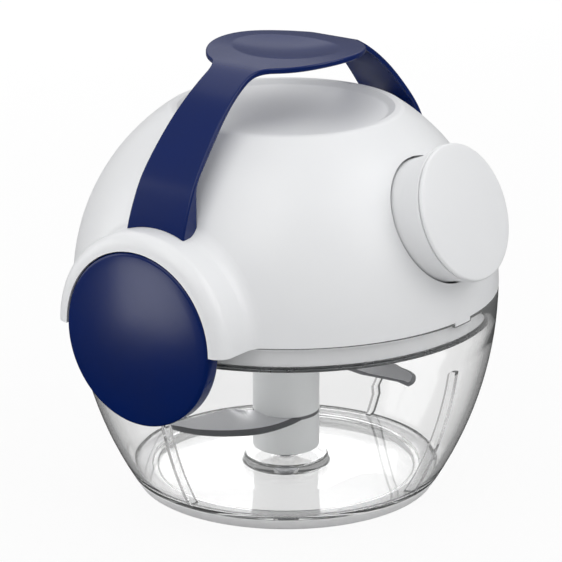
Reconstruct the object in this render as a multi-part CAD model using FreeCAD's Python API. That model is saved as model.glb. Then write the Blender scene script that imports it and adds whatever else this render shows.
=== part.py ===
"""Pull-string food chopper: a clear bowl, a domed lid that holds the reel, and a tall blade.

Sizes are in millimetres. The origin is on the bowl's axis, on the table. +Z is up, the two
turn locks and the ends of the handle lie along X, and the pull knob points towards -Y.
"""

import FreeCAD, Part
import math
import os

# Bowl
rim_radius = 75.15
bowl_height = 73.7
side_arc_radius = 134.7
bowl_wall = 2.0
seal_land_depth = 11.0
seal_land_relief = 0.1
floor_height = 5.55
floor_thickness = 2.5
floor_flat_radius = 43.4
floor_rise = 0.7
floor_corner_round = 3.0
plinth_radius = 15.0
plinth_height = 2.95
plinth_round = 1.2
rib_count = 4
rib_thickness = 2.0
rib_proud = 2.6
rib_top_drop = 19.0
rib_root_sink = 0.8
rib_floor_sink = 0.5
rib_bulge = 0.6
lug_radius = 2.75
lug_chamfer = 0.5
lug_drop = 14.4
key_width = 9.0
key_depth = 1.5

# Foot ring under the bowl
foot_height = 4.5
foot_inner_radius = 48.8
foot_edge_round = 1.0
spigot_wall = 2.0
spigot_lift = 1.0

# Pivot pin and its bush
pin_radius = 3.0
pin_top = 36.0
pin_seat_depth = 1.5
pin_chamfer = 0.8
pivot_boss_radius = 5.0
pivot_boss_top = 12.6
bush_wall = 1.95
bush_flange_radius = 7.0
bush_flange_thickness = 1.0
bush_top = 35.0

# Blade unit
hub_radius = 12.0
hub_bottom = 11.3
hub_rise = 3.3
hub_edge_round = 0.8
post_radius = 8.0
post_half_flats = 6.6
post_top = 52.0
post_bore_top = 37.0
lower_blade_height = 24.4
upper_blade_height = 42.8
lower_blade_heading = 161.0
upper_blade_heading = -90.0
lower_blade_reach = 48.0
upper_blade_reach = 50.8
lower_blade_back = -2.8
upper_blade_back = 3.1
lower_blade_belly = 14.1
upper_blade_belly = 20.5
lower_blade_roundness = 1.7
upper_blade_roundness = 2.3
lower_blade_pitch = 11.0
upper_blade_pitch = 3.0
blade_width = 18.0
blade_root_run = 26.5
blade_thickness = 1.2
blade_step = 0.04
blade_twist_length = 10.0
blade_stations = 16
blade_bevel = 2.4
blade_edge_thickness = 0.25
blade_bevel_share = 0.45
blade_root_share = 0.985
blade_tip_share = 0.995
blade_root_inside = 0.78
ring_thickness = 0.8
ring_inner_radius = 5.6
ring_outer_radius = 7.6
ring_opening = 2.4

# Screws
screw_cross_share = 0.6
screw_cross_width = 0.7
screw_cross_depth = 0.9
thread_spare = 1.0
blade_screw_radius = 1.5
blade_screw_head_radius = 2.8
blade_screw_head_height = 2.0
blade_screw_length = 14.0
cover_screw_radius = 1.5
cover_screw_head_radius = 2.8
cover_screw_head_height = 1.8
cover_screw_length = 14.0
small_screw_radius = 1.25
small_screw_head_radius = 2.2
small_screw_head_height = 1.4
small_screw_length = 7.0
case_screw_length = 6.0
handle_screw_radius = 1.75
handle_screw_head_radius = 3.2
handle_screw_head_height = 2.2
lock_screw_radius = 1.5
lock_screw_head_radius = 3.2
lock_screw_head_height = 1.2
lock_washer_radius = 4.6
lock_washer_thickness = 0.5

# Drive shaft, reel and rewind spring
drive_flats = 11.0
drive_nose_length = 12.6
drive_socket_depth = 14.0
drive_tip_gap = 3.0
drive_point_length = 1.6
drive_point_inset = 0.4
journal_radius = 6.0
journal_proud = 0.4
spindle_radius = 4.5
spindle_half_flat = 3.6
top_journal_radius = 3.0
top_journal_proud = 1.0
reel_flange_radius = 24.0
reel_core_radius = 11.0
reel_flange_thickness = 1.6
reel_groove_width = 6.2
reel_edge_round = 0.5
reel_window_radius = 3.2
reel_window_circle = 19.5
reel_window_count = 6
winding_radius = 16.8
spring_case_radius = 26.0
spring_case_wall = 1.8
spring_case_height = 14.0
spring_case_flange_radius = 30.4
spring_case_floor = 1.5
spring_strip = 0.5
spring_width = 9.0
spring_turns = 9.25
spring_lift = 1.2
spring_inner_gap = 1.4
spring_outer_gap = 1.0
spring_hook_depth = 1.0
shaft_ring_thickness = 0.8
shaft_ring_radius = 6.0
shaft_ring_bite = 0.6
shaft_ring_opening_share = 0.6

# Inner cover and seal
cover_plate = 2.0
plate_lift = 1.0
skirt_depth = 9.0
skirt_wall = 1.8
skirt_gap = 0.85
seal_height = 1.8
seal_width = 1.9
turret_radius = 31.0
turret_rise = 8.3
turret_round = 1.0
cover_screw_circle = 58.0
cover_screw_count = 4
cover_boss_radius = 5.0
cover_boss_rise = 2.0
dome_boss_radius = 4.0
pillar_circle = 37.0
pillar_radius = 3.6
pillar_count = 3
case_boss_radius = 2.8
case_screw_circle = 28.4
reel_cover_radius = 41.2
reel_cover_thickness = 2.0
reel_cover_round = 0.6
reel_cover_gap = 1.4
reel_cover_window_radius = 6.5
reel_cover_window_circle = 22.9
bush_sleeve_wall = 1.9
bush_collar_radius = 9.8
bush_collar_thickness = 1.0
top_bush_drop = 0.6
top_bush_collar_width = 1.8
top_bush_collar_thickness = 0.8

# Domed lid
lid_wall = 2.5
crest_height = 63.2
crest_round = 3.0
dish_edge_radius = 38.0
dish_depth = 1.4
dish_slope_width = 2.4
dish_sag = 0.5
dish_round = 1.6
lid_ceiling = 58.6
ear_radius = 36.1
ear_end_drop = 0.1
ear_wall = 2.5
ear_blend = 6.0
ear_shoulder = 5.3
ear_end_wall = 1.5
rim_gap = 0.45

# Turn locks
lock_radius = 30.1
lock_face_wall = 1.75
lock_crown = 1.2
lock_edge_round = 0.7
cam_radius = 28.2
cam_thickness = 4.2
cap_wall = 1.6
lock_recess_radius = 6.6
pivot_stub_radius = 6.0
pivot_stub_length = 2.3
cam_web = 1.0
pivot_tongue_radius = 9.0
groove_depth = 3.0

# Pull knob and cord
knob_tilt = 21.66
knob_axis_rise = 8.29
knob_face_distance = 82.7
knob_neck_radius = 21.8
knob_flare_distance = 74.2
knob_face_radius = 23.85
knob_wall = 2.0
knob_cap_thickness = 1.6
knob_crown = 1.6
knob_edge_round = 1.2
knob_spigot_depth = 2.0
knob_spigot_wall = 1.5
knob_stem_radius = 5.0
socket_floor_distance = 64.4
socket_wall = 2.0
cord_radius = 0.9
cord_bend_radius = 9.0
eyelet_radius = 4.2
eyelet_flange_radius = 6.0
eyelet_flange_thickness = 1.0
eyelet_bore_radius = 1.4
eyelet_mouth_radius = 3.5
eyelet_mouth_depth = 1.8
stopper_radius = 2.6
stopper_length = 5.0
stopper_round = 0.5
stopper_end_wall = 1.5
stopper_face_gap = 1.2

# Handle: its outer curve is given as (distance from the middle, drop below the grip's top)
handle_curve = (
    (0.0, 0.0),
    (12.0, 0.35),
    (22.0, 1.15),
    (28.8, 2.05),
    (34.0, 4.2),
    (40.3, 7.95),
    (48.9, 14.75),
    (55.4, 21.2),
    (61.3, 27.85),
    (66.3, 34.75),
    (69.7, 41.75),
    (72.2, 48.45),
    (74.4, 60.0),
)
handle_plan_curve = ((14.0, 9.4), (32.0, 8.8), (41.0, 9.1), (49.0, 9.9), (61.0, 11.1), (76.0, 12.4))
strap_root_distance = 61.0
grip_half_length = 28.8
grip_half_width = 27.0
grip_height = 84.6
grip_thickness = 2.0
grip_dish_radius = 19.9
grip_dish_depth = 2.2
grip_dish_wall = 1.8
grip_dish_round = 2.0
strap_thickness = 1.7
strap_inner_face = 64.2
strap_inner_drop = 37.2
strap_fillet = 10.0
handle_edge_round = 0.6
tang_depth = 19.0
tang_thickness = 4.0
tang_half_width = 7.5
tang_inner_face = 66.5
tang_root = 4.0
tang_hole_floor = 0.8
bracket_thickness = 2.2
bracket_half_width = 9.0
bracket_foot = 2.0
handle_screw_height = 22.0

# Clearances
held_clearance = 0.03
running_clearance = 0.06
flange_clearance = 0.15
thread_clearance = 0.05
keyed_clearance = 0.1
loose_clearance = 0.3
seat_clearance = 0.1
socket_clearance = 0.3
knob_clearance = 0.8
lug_clearance = 0.35
lock_clearance = 0.25

# Places that follow from the sizes above
parting = bowl_height
ORIGIN = FreeCAD.Vector(0, 0, 0)
UP = FreeCAD.Vector(0, 0, 1)
lock_centre_z = parting
pull = FreeCAD.Vector(0, -math.cos(math.radians(knob_tilt)), math.sin(math.radians(knob_tilt)))
across = FreeCAD.Vector(0, math.sin(math.radians(knob_tilt)), math.cos(math.radians(knob_tilt)))
pull_start = FreeCAD.Vector(0, 0, parting + knob_axis_rise) + pull * (
    -knob_axis_rise * math.sin(math.radians(knob_tilt))
)
seal_land_radius = rim_radius - bowl_wall - seal_land_relief
skirt_radius = seal_land_radius - skirt_gap
plate_bottom = parting + plate_lift
plate_top = plate_bottom + cover_plate
turret_top = parting + turret_rise
turret_ceiling = turret_top - cover_plate
hub_top = parting + hub_rise
bush_inner_radius = pin_radius + running_clearance
bush_outer_radius = bush_inner_radius + bush_wall
drive_tip = hub_top - drive_socket_depth + drive_tip_gap
journal_bottom = drive_tip + drive_nose_length
cover_bush_bottom = journal_bottom + running_clearance
case_bottom = turret_top
case_top = case_bottom + spring_case_height
spring_bottom = case_bottom + spring_case_floor + spring_lift
eyelet_centre = pull_start + pull * (socket_floor_distance - socket_wall)
reel_middle = eyelet_centre.z
reel_bottom = reel_middle - reel_groove_width / 2 - reel_flange_thickness
reel_top = reel_middle + reel_groove_width / 2 + reel_flange_thickness
shaft_ring_bottom = reel_top + running_clearance
spindle_top = shaft_ring_bottom + 2 * shaft_ring_thickness
pillar_top = spindle_top + reel_cover_gap
drive_top = pillar_top + reel_cover_thickness + top_journal_proud
lid_inner_radius = rim_radius - lid_wall
pocket_floor = rim_radius + rim_gap + ear_end_wall
cam_back = pocket_floor + lock_clearance
cam_front = cam_back + cam_thickness
lock_face_reach = cam_front + lock_face_wall
ear_reach = lock_face_reach - ear_end_drop
lug_end = cam_back + groove_depth - loose_clearance
stub_end = pocket_floor + pivot_stub_length
washer_seat = stub_end + running_clearance + cam_web + seat_clearance
knob_back_distance = socket_floor_distance + loose_clearance
cord_stop_distance = knob_face_distance - stopper_length - stopper_face_gap
socket_radius = knob_neck_radius + knob_clearance


def vec(x, y, z):
    return FreeCAD.Vector(x, y, z)


def cylinder(radius, low, high, centre=(0, 0)):
    """Upright cylinder from height low to height high."""
    return Part.makeCylinder(radius, high - low, vec(centre[0], centre[1], low), UP)


def tube(outer, inner, low, high, centre=(0, 0)):
    return cylinder(outer, low, high, centre).cut(cylinder(inner, low - 1, high + 1, centre))


def side_cylinder(radius, low, high, z, y=0):
    """Cylinder along X from x = low to x = high."""
    return Part.makeCylinder(radius, high - low, vec(low, y, z), vec(1, 0, 0))


def pull_cylinder(radius, low, high):
    """Cylinder along the pull axis, between two distances from the dome's middle."""
    return Part.makeCylinder(radius, high - low, pull_start + pull * low, pull)


def pull_cone(low_radius, high_radius, low, high):
    return Part.makeCone(low_radius, high_radius, high - low, pull_start + pull * low, pull)


def block(low, high):
    size = [high[i] - low[i] for i in range(3)]
    return Part.makeBox(size[0], size[1], size[2], vec(*low))


def line(a, b):
    return Part.LineSegment(a, b).toShape()


def arc(a, middle, b):
    return Part.Arc(a, middle, b).toShape()


def turned(edges, axis=UP, base=ORIGIN):
    """Solid of revolution of a closed outline."""
    face = Part.Face(Part.Wire(edges))
    return face.revolve(base, axis, 360)


def joined(shapes):
    whole = shapes[0]
    for shape in shapes[1:]:
        whole = whole.fuse(shape)
    return whole.removeSplitter()


def around(shape, count, first=0.0):
    """Copies of a shape, evenly spaced about the Z axis."""
    copies = []
    for i in range(count):
        copy = shape.copy()
        copy.rotate(ORIGIN, UP, first + 360.0 * i / count)
        copies.append(copy)
    return copies


def mirrored(shape):
    """The same piece on the other side, across the YZ plane."""
    return shape.mirror(ORIGIN, vec(1, 0, 0))


def round_edges(shape, radius, chosen):
    """Rounds the edges for which chosen(edge) is true."""
    edges = [edge for edge in shape.Edges if chosen(edge)]
    return shape.makeFillet(radius, edges)


def is_circle(edge):
    return not edge.Degenerated and isinstance(edge.Curve, Part.Circle)


def is_ring(edge, radius, z=None, tolerance=0.02):
    """True for a circle about the Z axis with this radius, at height z where one is given."""
    if not is_circle(edge):
        return False
    centre = edge.Curve.Center
    on_axis = math.hypot(centre.x, centre.y) < tolerance
    right_size = abs(edge.Curve.Radius - radius) < tolerance
    right_height = z is None or abs(centre.z - z) < tolerance
    return on_axis and right_size and right_height


def side_radius(z, inset=0.0):
    """Radius of the bowl's curved side at height z, moved in by inset."""
    reach = side_arc_radius - inset
    return rim_radius - side_arc_radius + math.sqrt(reach**2 - (z - parting) ** 2)


def side_arc(low, high, inset=0.0):
    """Edge along the bowl's curved side, in the XZ plane."""
    points = [vec(side_radius(z, inset), 0, z) for z in (low, (low + high) / 2, high)]
    return arc(*points)


def double_flat(radius, half_flats, low, high):
    """Round bar with two flats that face +X and -X."""
    bar = cylinder(radius, low, high)
    return bar.common(block((-half_flats, -radius, low), (half_flats, radius, high)))


def single_flat(radius, half_flat, low, high):
    """Round bar with one flat that faces +X."""
    bar = cylinder(radius, low, high)
    return bar.common(block((-radius, -radius, low), (half_flat, radius, high)))


def hexagon(flats, low, high):
    """Six-sided bar with flats that face +Y and -Y."""
    corner = flats / math.sqrt(3)
    points = [
        vec(corner * math.cos(math.radians(60 * i)), corner * math.sin(math.radians(60 * i)), low)
        for i in range(6)
    ]
    face = Part.Face(Part.makePolygon(points + [points[0]]))
    return face.extrude(vec(0, 0, high - low))


def screw(radius, length, head_radius, head_height, seat, direction):
    """Pan head screw: seat is under the head, and direction is where the shank goes."""
    shank = Part.makeCylinder(radius, length, seat, direction)
    head = Part.makeCylinder(head_radius, head_height, seat, direction * -1)
    half = head_radius * screw_cross_share
    drive = Part.makeBox(2 * half, screw_cross_width, screw_cross_depth)
    drive.translate(vec(-half, -screw_cross_width / 2, 0))
    cross = drive.fuse(drive.copy().rotate(ORIGIN, UP, 90))
    turn = FreeCAD.Rotation(UP, direction)
    cross.Placement = FreeCAD.Placement(seat - direction * head_height, turn)
    return shank.fuse(head).cut(cross).removeSplitter()


def bowl():
    """Clear bowl with its floor, pivot boss, ribs, lock lugs and the notch for the lid's key."""
    under = floor_height - floor_thickness
    spigot_outer = foot_inner_radius - seat_clearance
    spigot_inner = spigot_outer - spigot_wall
    land_low = parting - seal_land_depth
    corner_z = floor_height + floor_rise
    corner = vec(side_radius(corner_z, bowl_wall), 0, corner_z)
    outline = [
        vec(0, 0, under),
        vec(spigot_inner, 0, under),
        vec(spigot_inner, 0, spigot_lift),
        vec(spigot_outer, 0, spigot_lift),
        vec(spigot_outer, 0, foot_height),
        vec(side_radius(foot_height), 0, foot_height),
    ]
    rim = [
        vec(rim_radius, 0, parting),
        vec(seal_land_radius, 0, parting),
        vec(seal_land_radius, 0, land_low),
        vec(side_radius(land_low, bowl_wall), 0, land_low),
    ]
    floor = [corner, vec(floor_flat_radius, 0, floor_height), vec(0, 0, floor_height)]
    edges = [line(outline[i], outline[i + 1]) for i in range(len(outline) - 1)]
    edges.append(side_arc(foot_height, parting))
    edges += [line(rim[i], rim[i + 1]) for i in range(len(rim) - 1)]
    edges.append(side_arc(land_low, corner_z, bowl_wall))
    edges += [line(floor[i], floor[i + 1]) for i in range(len(floor) - 1)]
    edges.append(line(floor[-1], outline[0]))
    shell = turned(edges)
    shell = round_edges(shell, floor_corner_round, lambda e: is_ring(e, corner.x, corner_z))
    shell.rotate(ORIGIN, UP, 180.0 / rib_count)
    plinth = cylinder(plinth_radius, floor_height - 1, floor_height + plinth_height)
    plinth = round_edges(
        plinth, plinth_round, lambda e: is_ring(e, plinth_radius, floor_height + plinth_height)
    )
    boss = cylinder(pivot_boss_radius, floor_height, pivot_boss_top)
    pieces = [shell, plinth, boss] + around(bowl_rib(), rib_count)
    lug = lock_lug()
    pieces += [lug, mirrored(lug)]
    whole = joined(pieces)
    pin_hole = cylinder(pin_radius + held_clearance, floor_height - pin_seat_depth, pivot_boss_top + 1)
    half_notch = key_width / 2 + lug_clearance
    notch = block(
        (-half_notch, -rim_radius - 1, parting - key_depth - loose_clearance),
        (half_notch, -seal_land_radius + bowl_wall, parting + 1),
    )
    return whole.cut(pin_hole).cut(notch)


def bowl_rib():
    """Upright rib inside the bowl's wall, which throws food back to the blades."""
    low = floor_height - rib_floor_sink
    high = parting - rib_top_drop
    face_inset = bowl_wall + rib_proud
    root_inset = bowl_wall - rib_root_sink
    nose = vec(side_radius(high - rib_proud, face_inset), 0, high - rib_proud)
    root = vec(side_radius(high, root_inset), 0, high)
    bend = vec((nose.x + root.x) / 2 - rib_bulge, 0, (nose.z + root.z) / 2 + rib_bulge)
    edges = [
        side_arc(low, nose.z, face_inset),
        arc(nose, bend, root),
        side_arc(high, low, root_inset),
        line(vec(side_radius(low, root_inset), 0, low), vec(side_radius(low, face_inset), 0, low)),
    ]
    rib = Part.Face(Part.Wire(edges)).extrude(vec(0, rib_thickness, 0))
    rib.translate(vec(0, -rib_thickness / 2, 0))
    return rib


def lock_lug():
    """Stub on the bowl's +X side, which the turn lock catches."""
    z = lock_centre_z - lug_drop
    root = side_radius(z) - bowl_wall / 2
    stub = side_cylinder(lug_radius, root, lug_end, z)
    end = [e for e in stub.Edges if abs(e.CenterOfMass.x - lug_end) < 0.01]
    return stub.makeChamfer(lug_chamfer, end)


def foot_ring():
    """Soft non-slip ring that the bowl stands on."""
    inner_low = vec(foot_inner_radius, 0, 0)
    outer_low = vec(side_radius(0), 0, 0)
    outer_high = vec(side_radius(foot_height), 0, foot_height)
    inner_high = vec(foot_inner_radius, 0, foot_height)
    edges = [
        line(inner_low, outer_low),
        side_arc(0, foot_height),
        line(outer_high, inner_high),
        line(inner_high, inner_low),
    ]
    ring = turned(edges)
    return round_edges(ring, foot_edge_round, lambda e: is_ring(e, outer_low.x, 0))


def pivot_pin():
    pin = cylinder(pin_radius, floor_height - pin_seat_depth, pin_top)
    top = [e for e in pin.Edges if is_ring(e, pin_radius, pin_top)]
    return pin.makeChamfer(pin_chamfer, top)


def pivot_bush():
    """Flanged bush that stays on the pin while the hub turns round it."""
    sleeve = tube(bush_outer_radius, bush_inner_radius, pivot_boss_top, bush_top)
    flange_top = pivot_boss_top + bush_flange_thickness
    flange = tube(bush_flange_radius, bush_inner_radius, pivot_boss_top, flange_top)
    return joined([sleeve, flange])


def blade_hub():
    """Bottom of the hub: a wide foot under the lower blade and the post that carries the blades."""
    flange_top = pivot_boss_top + bush_flange_thickness
    foot = cylinder(hub_radius, hub_bottom, lower_blade_height)
    foot = round_edges(foot, hub_edge_round, lambda e: is_ring(e, hub_radius, hub_bottom))
    post = double_flat(post_radius, post_half_flats, lower_blade_height - 1, post_top)
    recess = cylinder(bush_flange_radius + flange_clearance, hub_bottom - 1, flange_top)
    bore = cylinder(bush_outer_radius + running_clearance, hub_bottom - 1, post_bore_top)
    ring_low = pivot_boss_top - seat_clearance - ring_thickness
    groove = cylinder(ring_outer_radius + held_clearance, ring_low, pivot_boss_top - seat_clearance)
    thread = cylinder(
        blade_screw_radius + thread_clearance, post_top - blade_screw_length, post_top + 1
    )
    return joined([foot, post]).cut(recess).cut(bore).cut(groove).cut(thread)


def retaining_ring():
    """Open ring in the hub's foot, which keeps the bush in the hub when the blades are lifted out."""
    low = pivot_boss_top - seat_clearance - ring_thickness
    ring = tube(ring_outer_radius, ring_inner_radius, low, low + ring_thickness)
    half = ring_opening / 2
    return ring.cut(block((0, -half, low - 1), (ring_outer_radius + 1, half, low + 2)))


def blade_section(x, low, back, belly, reach, roundness, pitch):
    """Cross-section of a blade at distance x from the hub's axis, with its ground edge."""
    run = reach - belly if x > belly else blade_root_run
    share = abs(x - belly) / run
    width = blade_width * (1 - share**roundness) ** (1 / roundness)
    twist = min(max((x - hub_radius) / blade_twist_length, 0.0), 1.0)
    slope = math.tan(math.radians(pitch)) * twist**2 * (3 - 2 * twist)
    edge = back + width
    bevel = min(blade_bevel, width * blade_bevel_share)

    bottom = low + blade_step
    top = low + blade_thickness - blade_step

    def point(y, z):
        return vec(x, y, z + (hub_radius - y) * slope)

    corners = [
        point(back, bottom),
        point(edge, bottom),
        point(edge, bottom + blade_edge_thickness),
        point(edge - bevel, top),
        point(back, top),
    ]
    return Part.makePolygon(corners + [corners[0]])


def blade(low, heading, back, belly, reach, roundness, pitch):
    """Sickle blade: a flat root ring keyed on the post, and a pitched arm with a curved edge."""
    root = cylinder(hub_radius, low, low + blade_thickness)
    start = max(belly - blade_root_run * blade_root_share, -hub_radius * blade_root_inside)
    end = belly + (reach - belly) * blade_tip_share
    sections = []
    for i in range(blade_stations):
        share = (1 - math.cos(math.pi * i / (blade_stations - 1))) / 2
        x = start + (end - start) * share
        sections.append(blade_section(x, low, back, belly, reach, roundness, pitch))
    arm = Part.makeLoft(sections, True, False)
    arm = arm.cut(cylinder(hub_radius, low - hub_radius, low + hub_radius))
    arm.rotate(ORIGIN, UP, heading)
    keyhole = double_flat(
        post_radius + keyed_clearance,
        post_half_flats + keyed_clearance,
        low - hub_radius,
        low + hub_radius,
    )
    return root.fuse(arm).cut(keyhole)


def lower_blade():
    return blade(
        lower_blade_height,
        lower_blade_heading,
        lower_blade_back,
        lower_blade_belly,
        lower_blade_reach,
        lower_blade_roundness,
        lower_blade_pitch,
    )


def upper_blade():
    return blade(
        upper_blade_height,
        upper_blade_heading,
        upper_blade_back,
        upper_blade_belly,
        upper_blade_reach,
        upper_blade_roundness,
        upper_blade_pitch,
    )


def blade_spacer():
    """Sleeve that holds the two blades apart."""
    low = lower_blade_height + blade_thickness
    sleeve = cylinder(hub_radius, low, upper_blade_height)
    hole = double_flat(
        post_radius + keyed_clearance,
        post_half_flats + keyed_clearance,
        low - 1,
        upper_blade_height + 1,
    )
    return sleeve.cut(hole)


def hub_cap():
    """Upper part of the hub, with the six-sided socket that the lid's drive drops into."""
    low = upper_blade_height + blade_thickness
    cap = cylinder(hub_radius, low, hub_top)
    cap = round_edges(cap, hub_edge_round, lambda e: is_ring(e, hub_radius, hub_top))
    hole = double_flat(
        post_radius + keyed_clearance, post_half_flats + keyed_clearance, low - 1, post_top
    )
    socket_floor = hub_top - drive_socket_depth
    socket = hexagon(drive_flats + 2 * socket_clearance, socket_floor, hub_top + 1)
    head_well = cylinder(
        blade_screw_head_radius + loose_clearance, hub_screw_seat(), socket_floor + 1
    )
    screw_hole = cylinder(
        blade_screw_radius + thread_clearance, post_top - 1, hub_screw_seat() + 1
    )
    return cap.cut(hole).cut(socket).cut(head_well).cut(screw_hole)


def hub_screw_seat():
    """Height of the seat for the screw that clamps the hub together."""
    return hub_top - drive_socket_depth - blade_screw_head_height


def hub_screw():
    length = hub_screw_seat() - post_top + blade_screw_length - thread_spare
    return screw(
        blade_screw_radius,
        length,
        blade_screw_head_radius,
        blade_screw_head_height,
        vec(0, 0, hub_screw_seat()),
        UP * -1,
    )


def sphere_cap(radius, top):
    """Upper half of a ball about the middle of the parting plane, cut flat at a height above it."""
    ball = Part.makeSphere(radius, vec(0, 0, parting))
    return ball.common(cylinder(radius + 1, parting, parting + top))


def lid_outside():
    """Outer form of the lid: a half ball with a dished top and a round ear on each side."""
    crest_z = parting + crest_height
    dome = sphere_cap(rim_radius, crest_height)
    crest_radius = math.sqrt(rim_radius**2 - crest_height**2)
    bottom_radius = dish_edge_radius - dish_slope_width
    low = crest_z - dish_depth
    edges = [
        line(vec(0, 0, crest_z + 1), vec(dish_edge_radius, 0, crest_z + 1)),
        line(vec(dish_edge_radius, 0, crest_z + 1), vec(dish_edge_radius, 0, crest_z)),
        line(vec(dish_edge_radius, 0, crest_z), vec(bottom_radius, 0, low)),
        arc(
            vec(bottom_radius, 0, low),
            vec(bottom_radius / 2, 0, low - dish_sag * 0.75),
            vec(0, 0, low - dish_sag),
        ),
        line(vec(0, 0, low - dish_sag), vec(0, 0, crest_z + 1)),
    ]
    dome = dome.cut(turned(edges))
    dome = round_edges(dome, crest_round, lambda e: is_ring(e, crest_radius, crest_z))
    dome = round_edges(dome, dish_round, lambda e: is_ring(e, bottom_radius, low))
    ear = side_cylinder(ear_radius, rim_radius / 2, ear_reach, lock_centre_z)
    end = [e for e in ear.Edges if abs(e.CenterOfMass.x - ear_reach) < 0.01]
    ear = ear.makeFillet(ear_shoulder, end)
    upper = block((0, -ear_radius - 1, parting), (ear_reach + 1, ear_radius + 1, parting + 50))
    ear = ear.common(upper)
    whole = dome.fuse(ear).fuse(mirrored(ear))
    meeting_x = math.sqrt(rim_radius**2 - ear_radius**2)
    return round_edges(
        whole,
        ear_blend,
        lambda e: is_circle(e)
        and abs(e.Curve.Radius - ear_radius) < 0.01
        and abs(abs(e.Curve.Center.x) - meeting_x) < 0.1,
    )


def ear_hollow():
    """Space inside the +X ear, open to the dome and closed by a floor and an end wall."""
    hollow = side_cylinder(
        ear_radius - ear_wall, rim_radius / 2, pocket_floor - ear_end_wall, lock_centre_z
    )
    above = block(
        (0, -ear_radius, parting + cover_plate), (ear_reach, ear_radius, parting + ear_radius)
    )
    return hollow.common(above)


def lock_pivot():
    """End wall of the +X ear below the parting plane, with the stub that its lock turns on."""
    tongue = side_cylinder(
        pivot_tongue_radius, pocket_floor - ear_end_wall, pocket_floor, lock_centre_z
    )
    stub = side_cylinder(pivot_stub_radius, pocket_floor - ear_end_wall, stub_end, lock_centre_z)
    return tongue.fuse(stub)


def lock_pocket():
    """Round recess in the end of the +X ear for the turn lock."""
    return side_cylinder(
        lock_radius + lug_clearance, pocket_floor, ear_reach + 5, lock_centre_z
    )


def knob_socket():
    """Round cup in the dome for the neck of the pull knob."""
    cup = pull_cylinder(
        socket_radius + socket_wall, socket_floor_distance - socket_wall, rim_radius
    )
    inside_dome = Part.makeSphere(rim_radius - lid_wall / 2, vec(0, 0, parting))
    return cup.common(inside_dome)


def dome_boss():
    """Post from the dome down to the inner cover, drilled for a cover screw."""
    low = plate_top + cover_boss_rise
    inner_height = math.sqrt(lid_inner_radius**2 - cover_screw_circle**2)
    high = parting + inner_height + lid_wall
    post = cylinder(dome_boss_radius, low, high, (cover_screw_circle, 0))
    return post.common(Part.makeSphere(rim_radius - lid_wall / 2, vec(0, 0, parting)))


def handle_bracket():
    """Wall inside the +X ear that the handle's tang is screwed to."""
    outer = tang_inner_face - seat_clearance
    top = math.sqrt((rim_radius - lid_wall / 2) ** 2 - outer**2)
    low = parting + ear_radius - tang_depth - bracket_foot
    return block(
        (outer - bracket_thickness, -bracket_half_width, low),
        (outer, bracket_half_width, parting + min(top, ear_radius - ear_wall / 2)),
    )


def lid_shell():
    """White domed lid with both ears, the knob socket and its inner bosses."""
    hollow = sphere_cap(lid_inner_radius, lid_ceiling)
    shell = lid_outside().cut(hollow).cut(ear_hollow()).cut(mirrored(ear_hollow()))
    pieces = [shell, knob_socket(), handle_bracket(), mirrored(handle_bracket())]
    pieces += around(dome_boss(), cover_screw_count, 180.0 / cover_screw_count)
    whole = joined(pieces)
    pocket = lock_pocket()
    whole = whole.cut(pocket).cut(mirrored(pocket))
    whole = joined([whole, lock_pivot(), mirrored(lock_pivot()), lid_key()])
    whole = whole.cut(pull_cylinder(socket_radius, socket_floor_distance, rim_radius + 20))
    whole = whole.cut(
        pull_cylinder(eyelet_radius + held_clearance, socket_floor_distance - 9, rim_radius)
    )
    thread = cylinder(
        cover_screw_radius + thread_clearance,
        plate_top,
        plate_top + cover_screw_length,
        (cover_screw_circle, 0),
    )
    for hole in around(thread, cover_screw_count, 180.0 / cover_screw_count):
        whole = whole.cut(hole)
    slot = block(
        (tang_inner_face - seat_clearance, -tang_half_width - seat_clearance, parting + 20),
        (
            tang_inner_face + tang_thickness + seat_clearance,
            tang_half_width + seat_clearance,
            parting + ear_radius + 5,
        ),
    )
    bracket_hole = side_cylinder(
        handle_screw_radius + seat_clearance,
        tang_inner_face - 5,
        tang_inner_face + 0.5,
        parting + handle_screw_height,
    )
    lock_thread = side_cylinder(
        lock_screw_radius + thread_clearance,
        pocket_floor - ear_end_wall - 1,
        stub_end + 1,
        lock_centre_z,
    )
    for cutter in (slot, bracket_hole, lock_thread):
        whole = whole.cut(cutter).cut(mirrored(cutter))
    return whole


def lid_key():
    """Small tab below the lid's edge under the knob, which drops into the bowl's notch."""
    tab = block(
        (-key_width / 2, -rim_radius, parting - key_depth),
        (key_width / 2, -lid_inner_radius, parting + 1),
    )
    outer = rim_radius - seat_clearance
    inner = lid_inner_radius + seat_clearance / 2
    ring = tube(outer, inner, parting - key_depth, parting + 1)
    return tab.common(ring)


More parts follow.
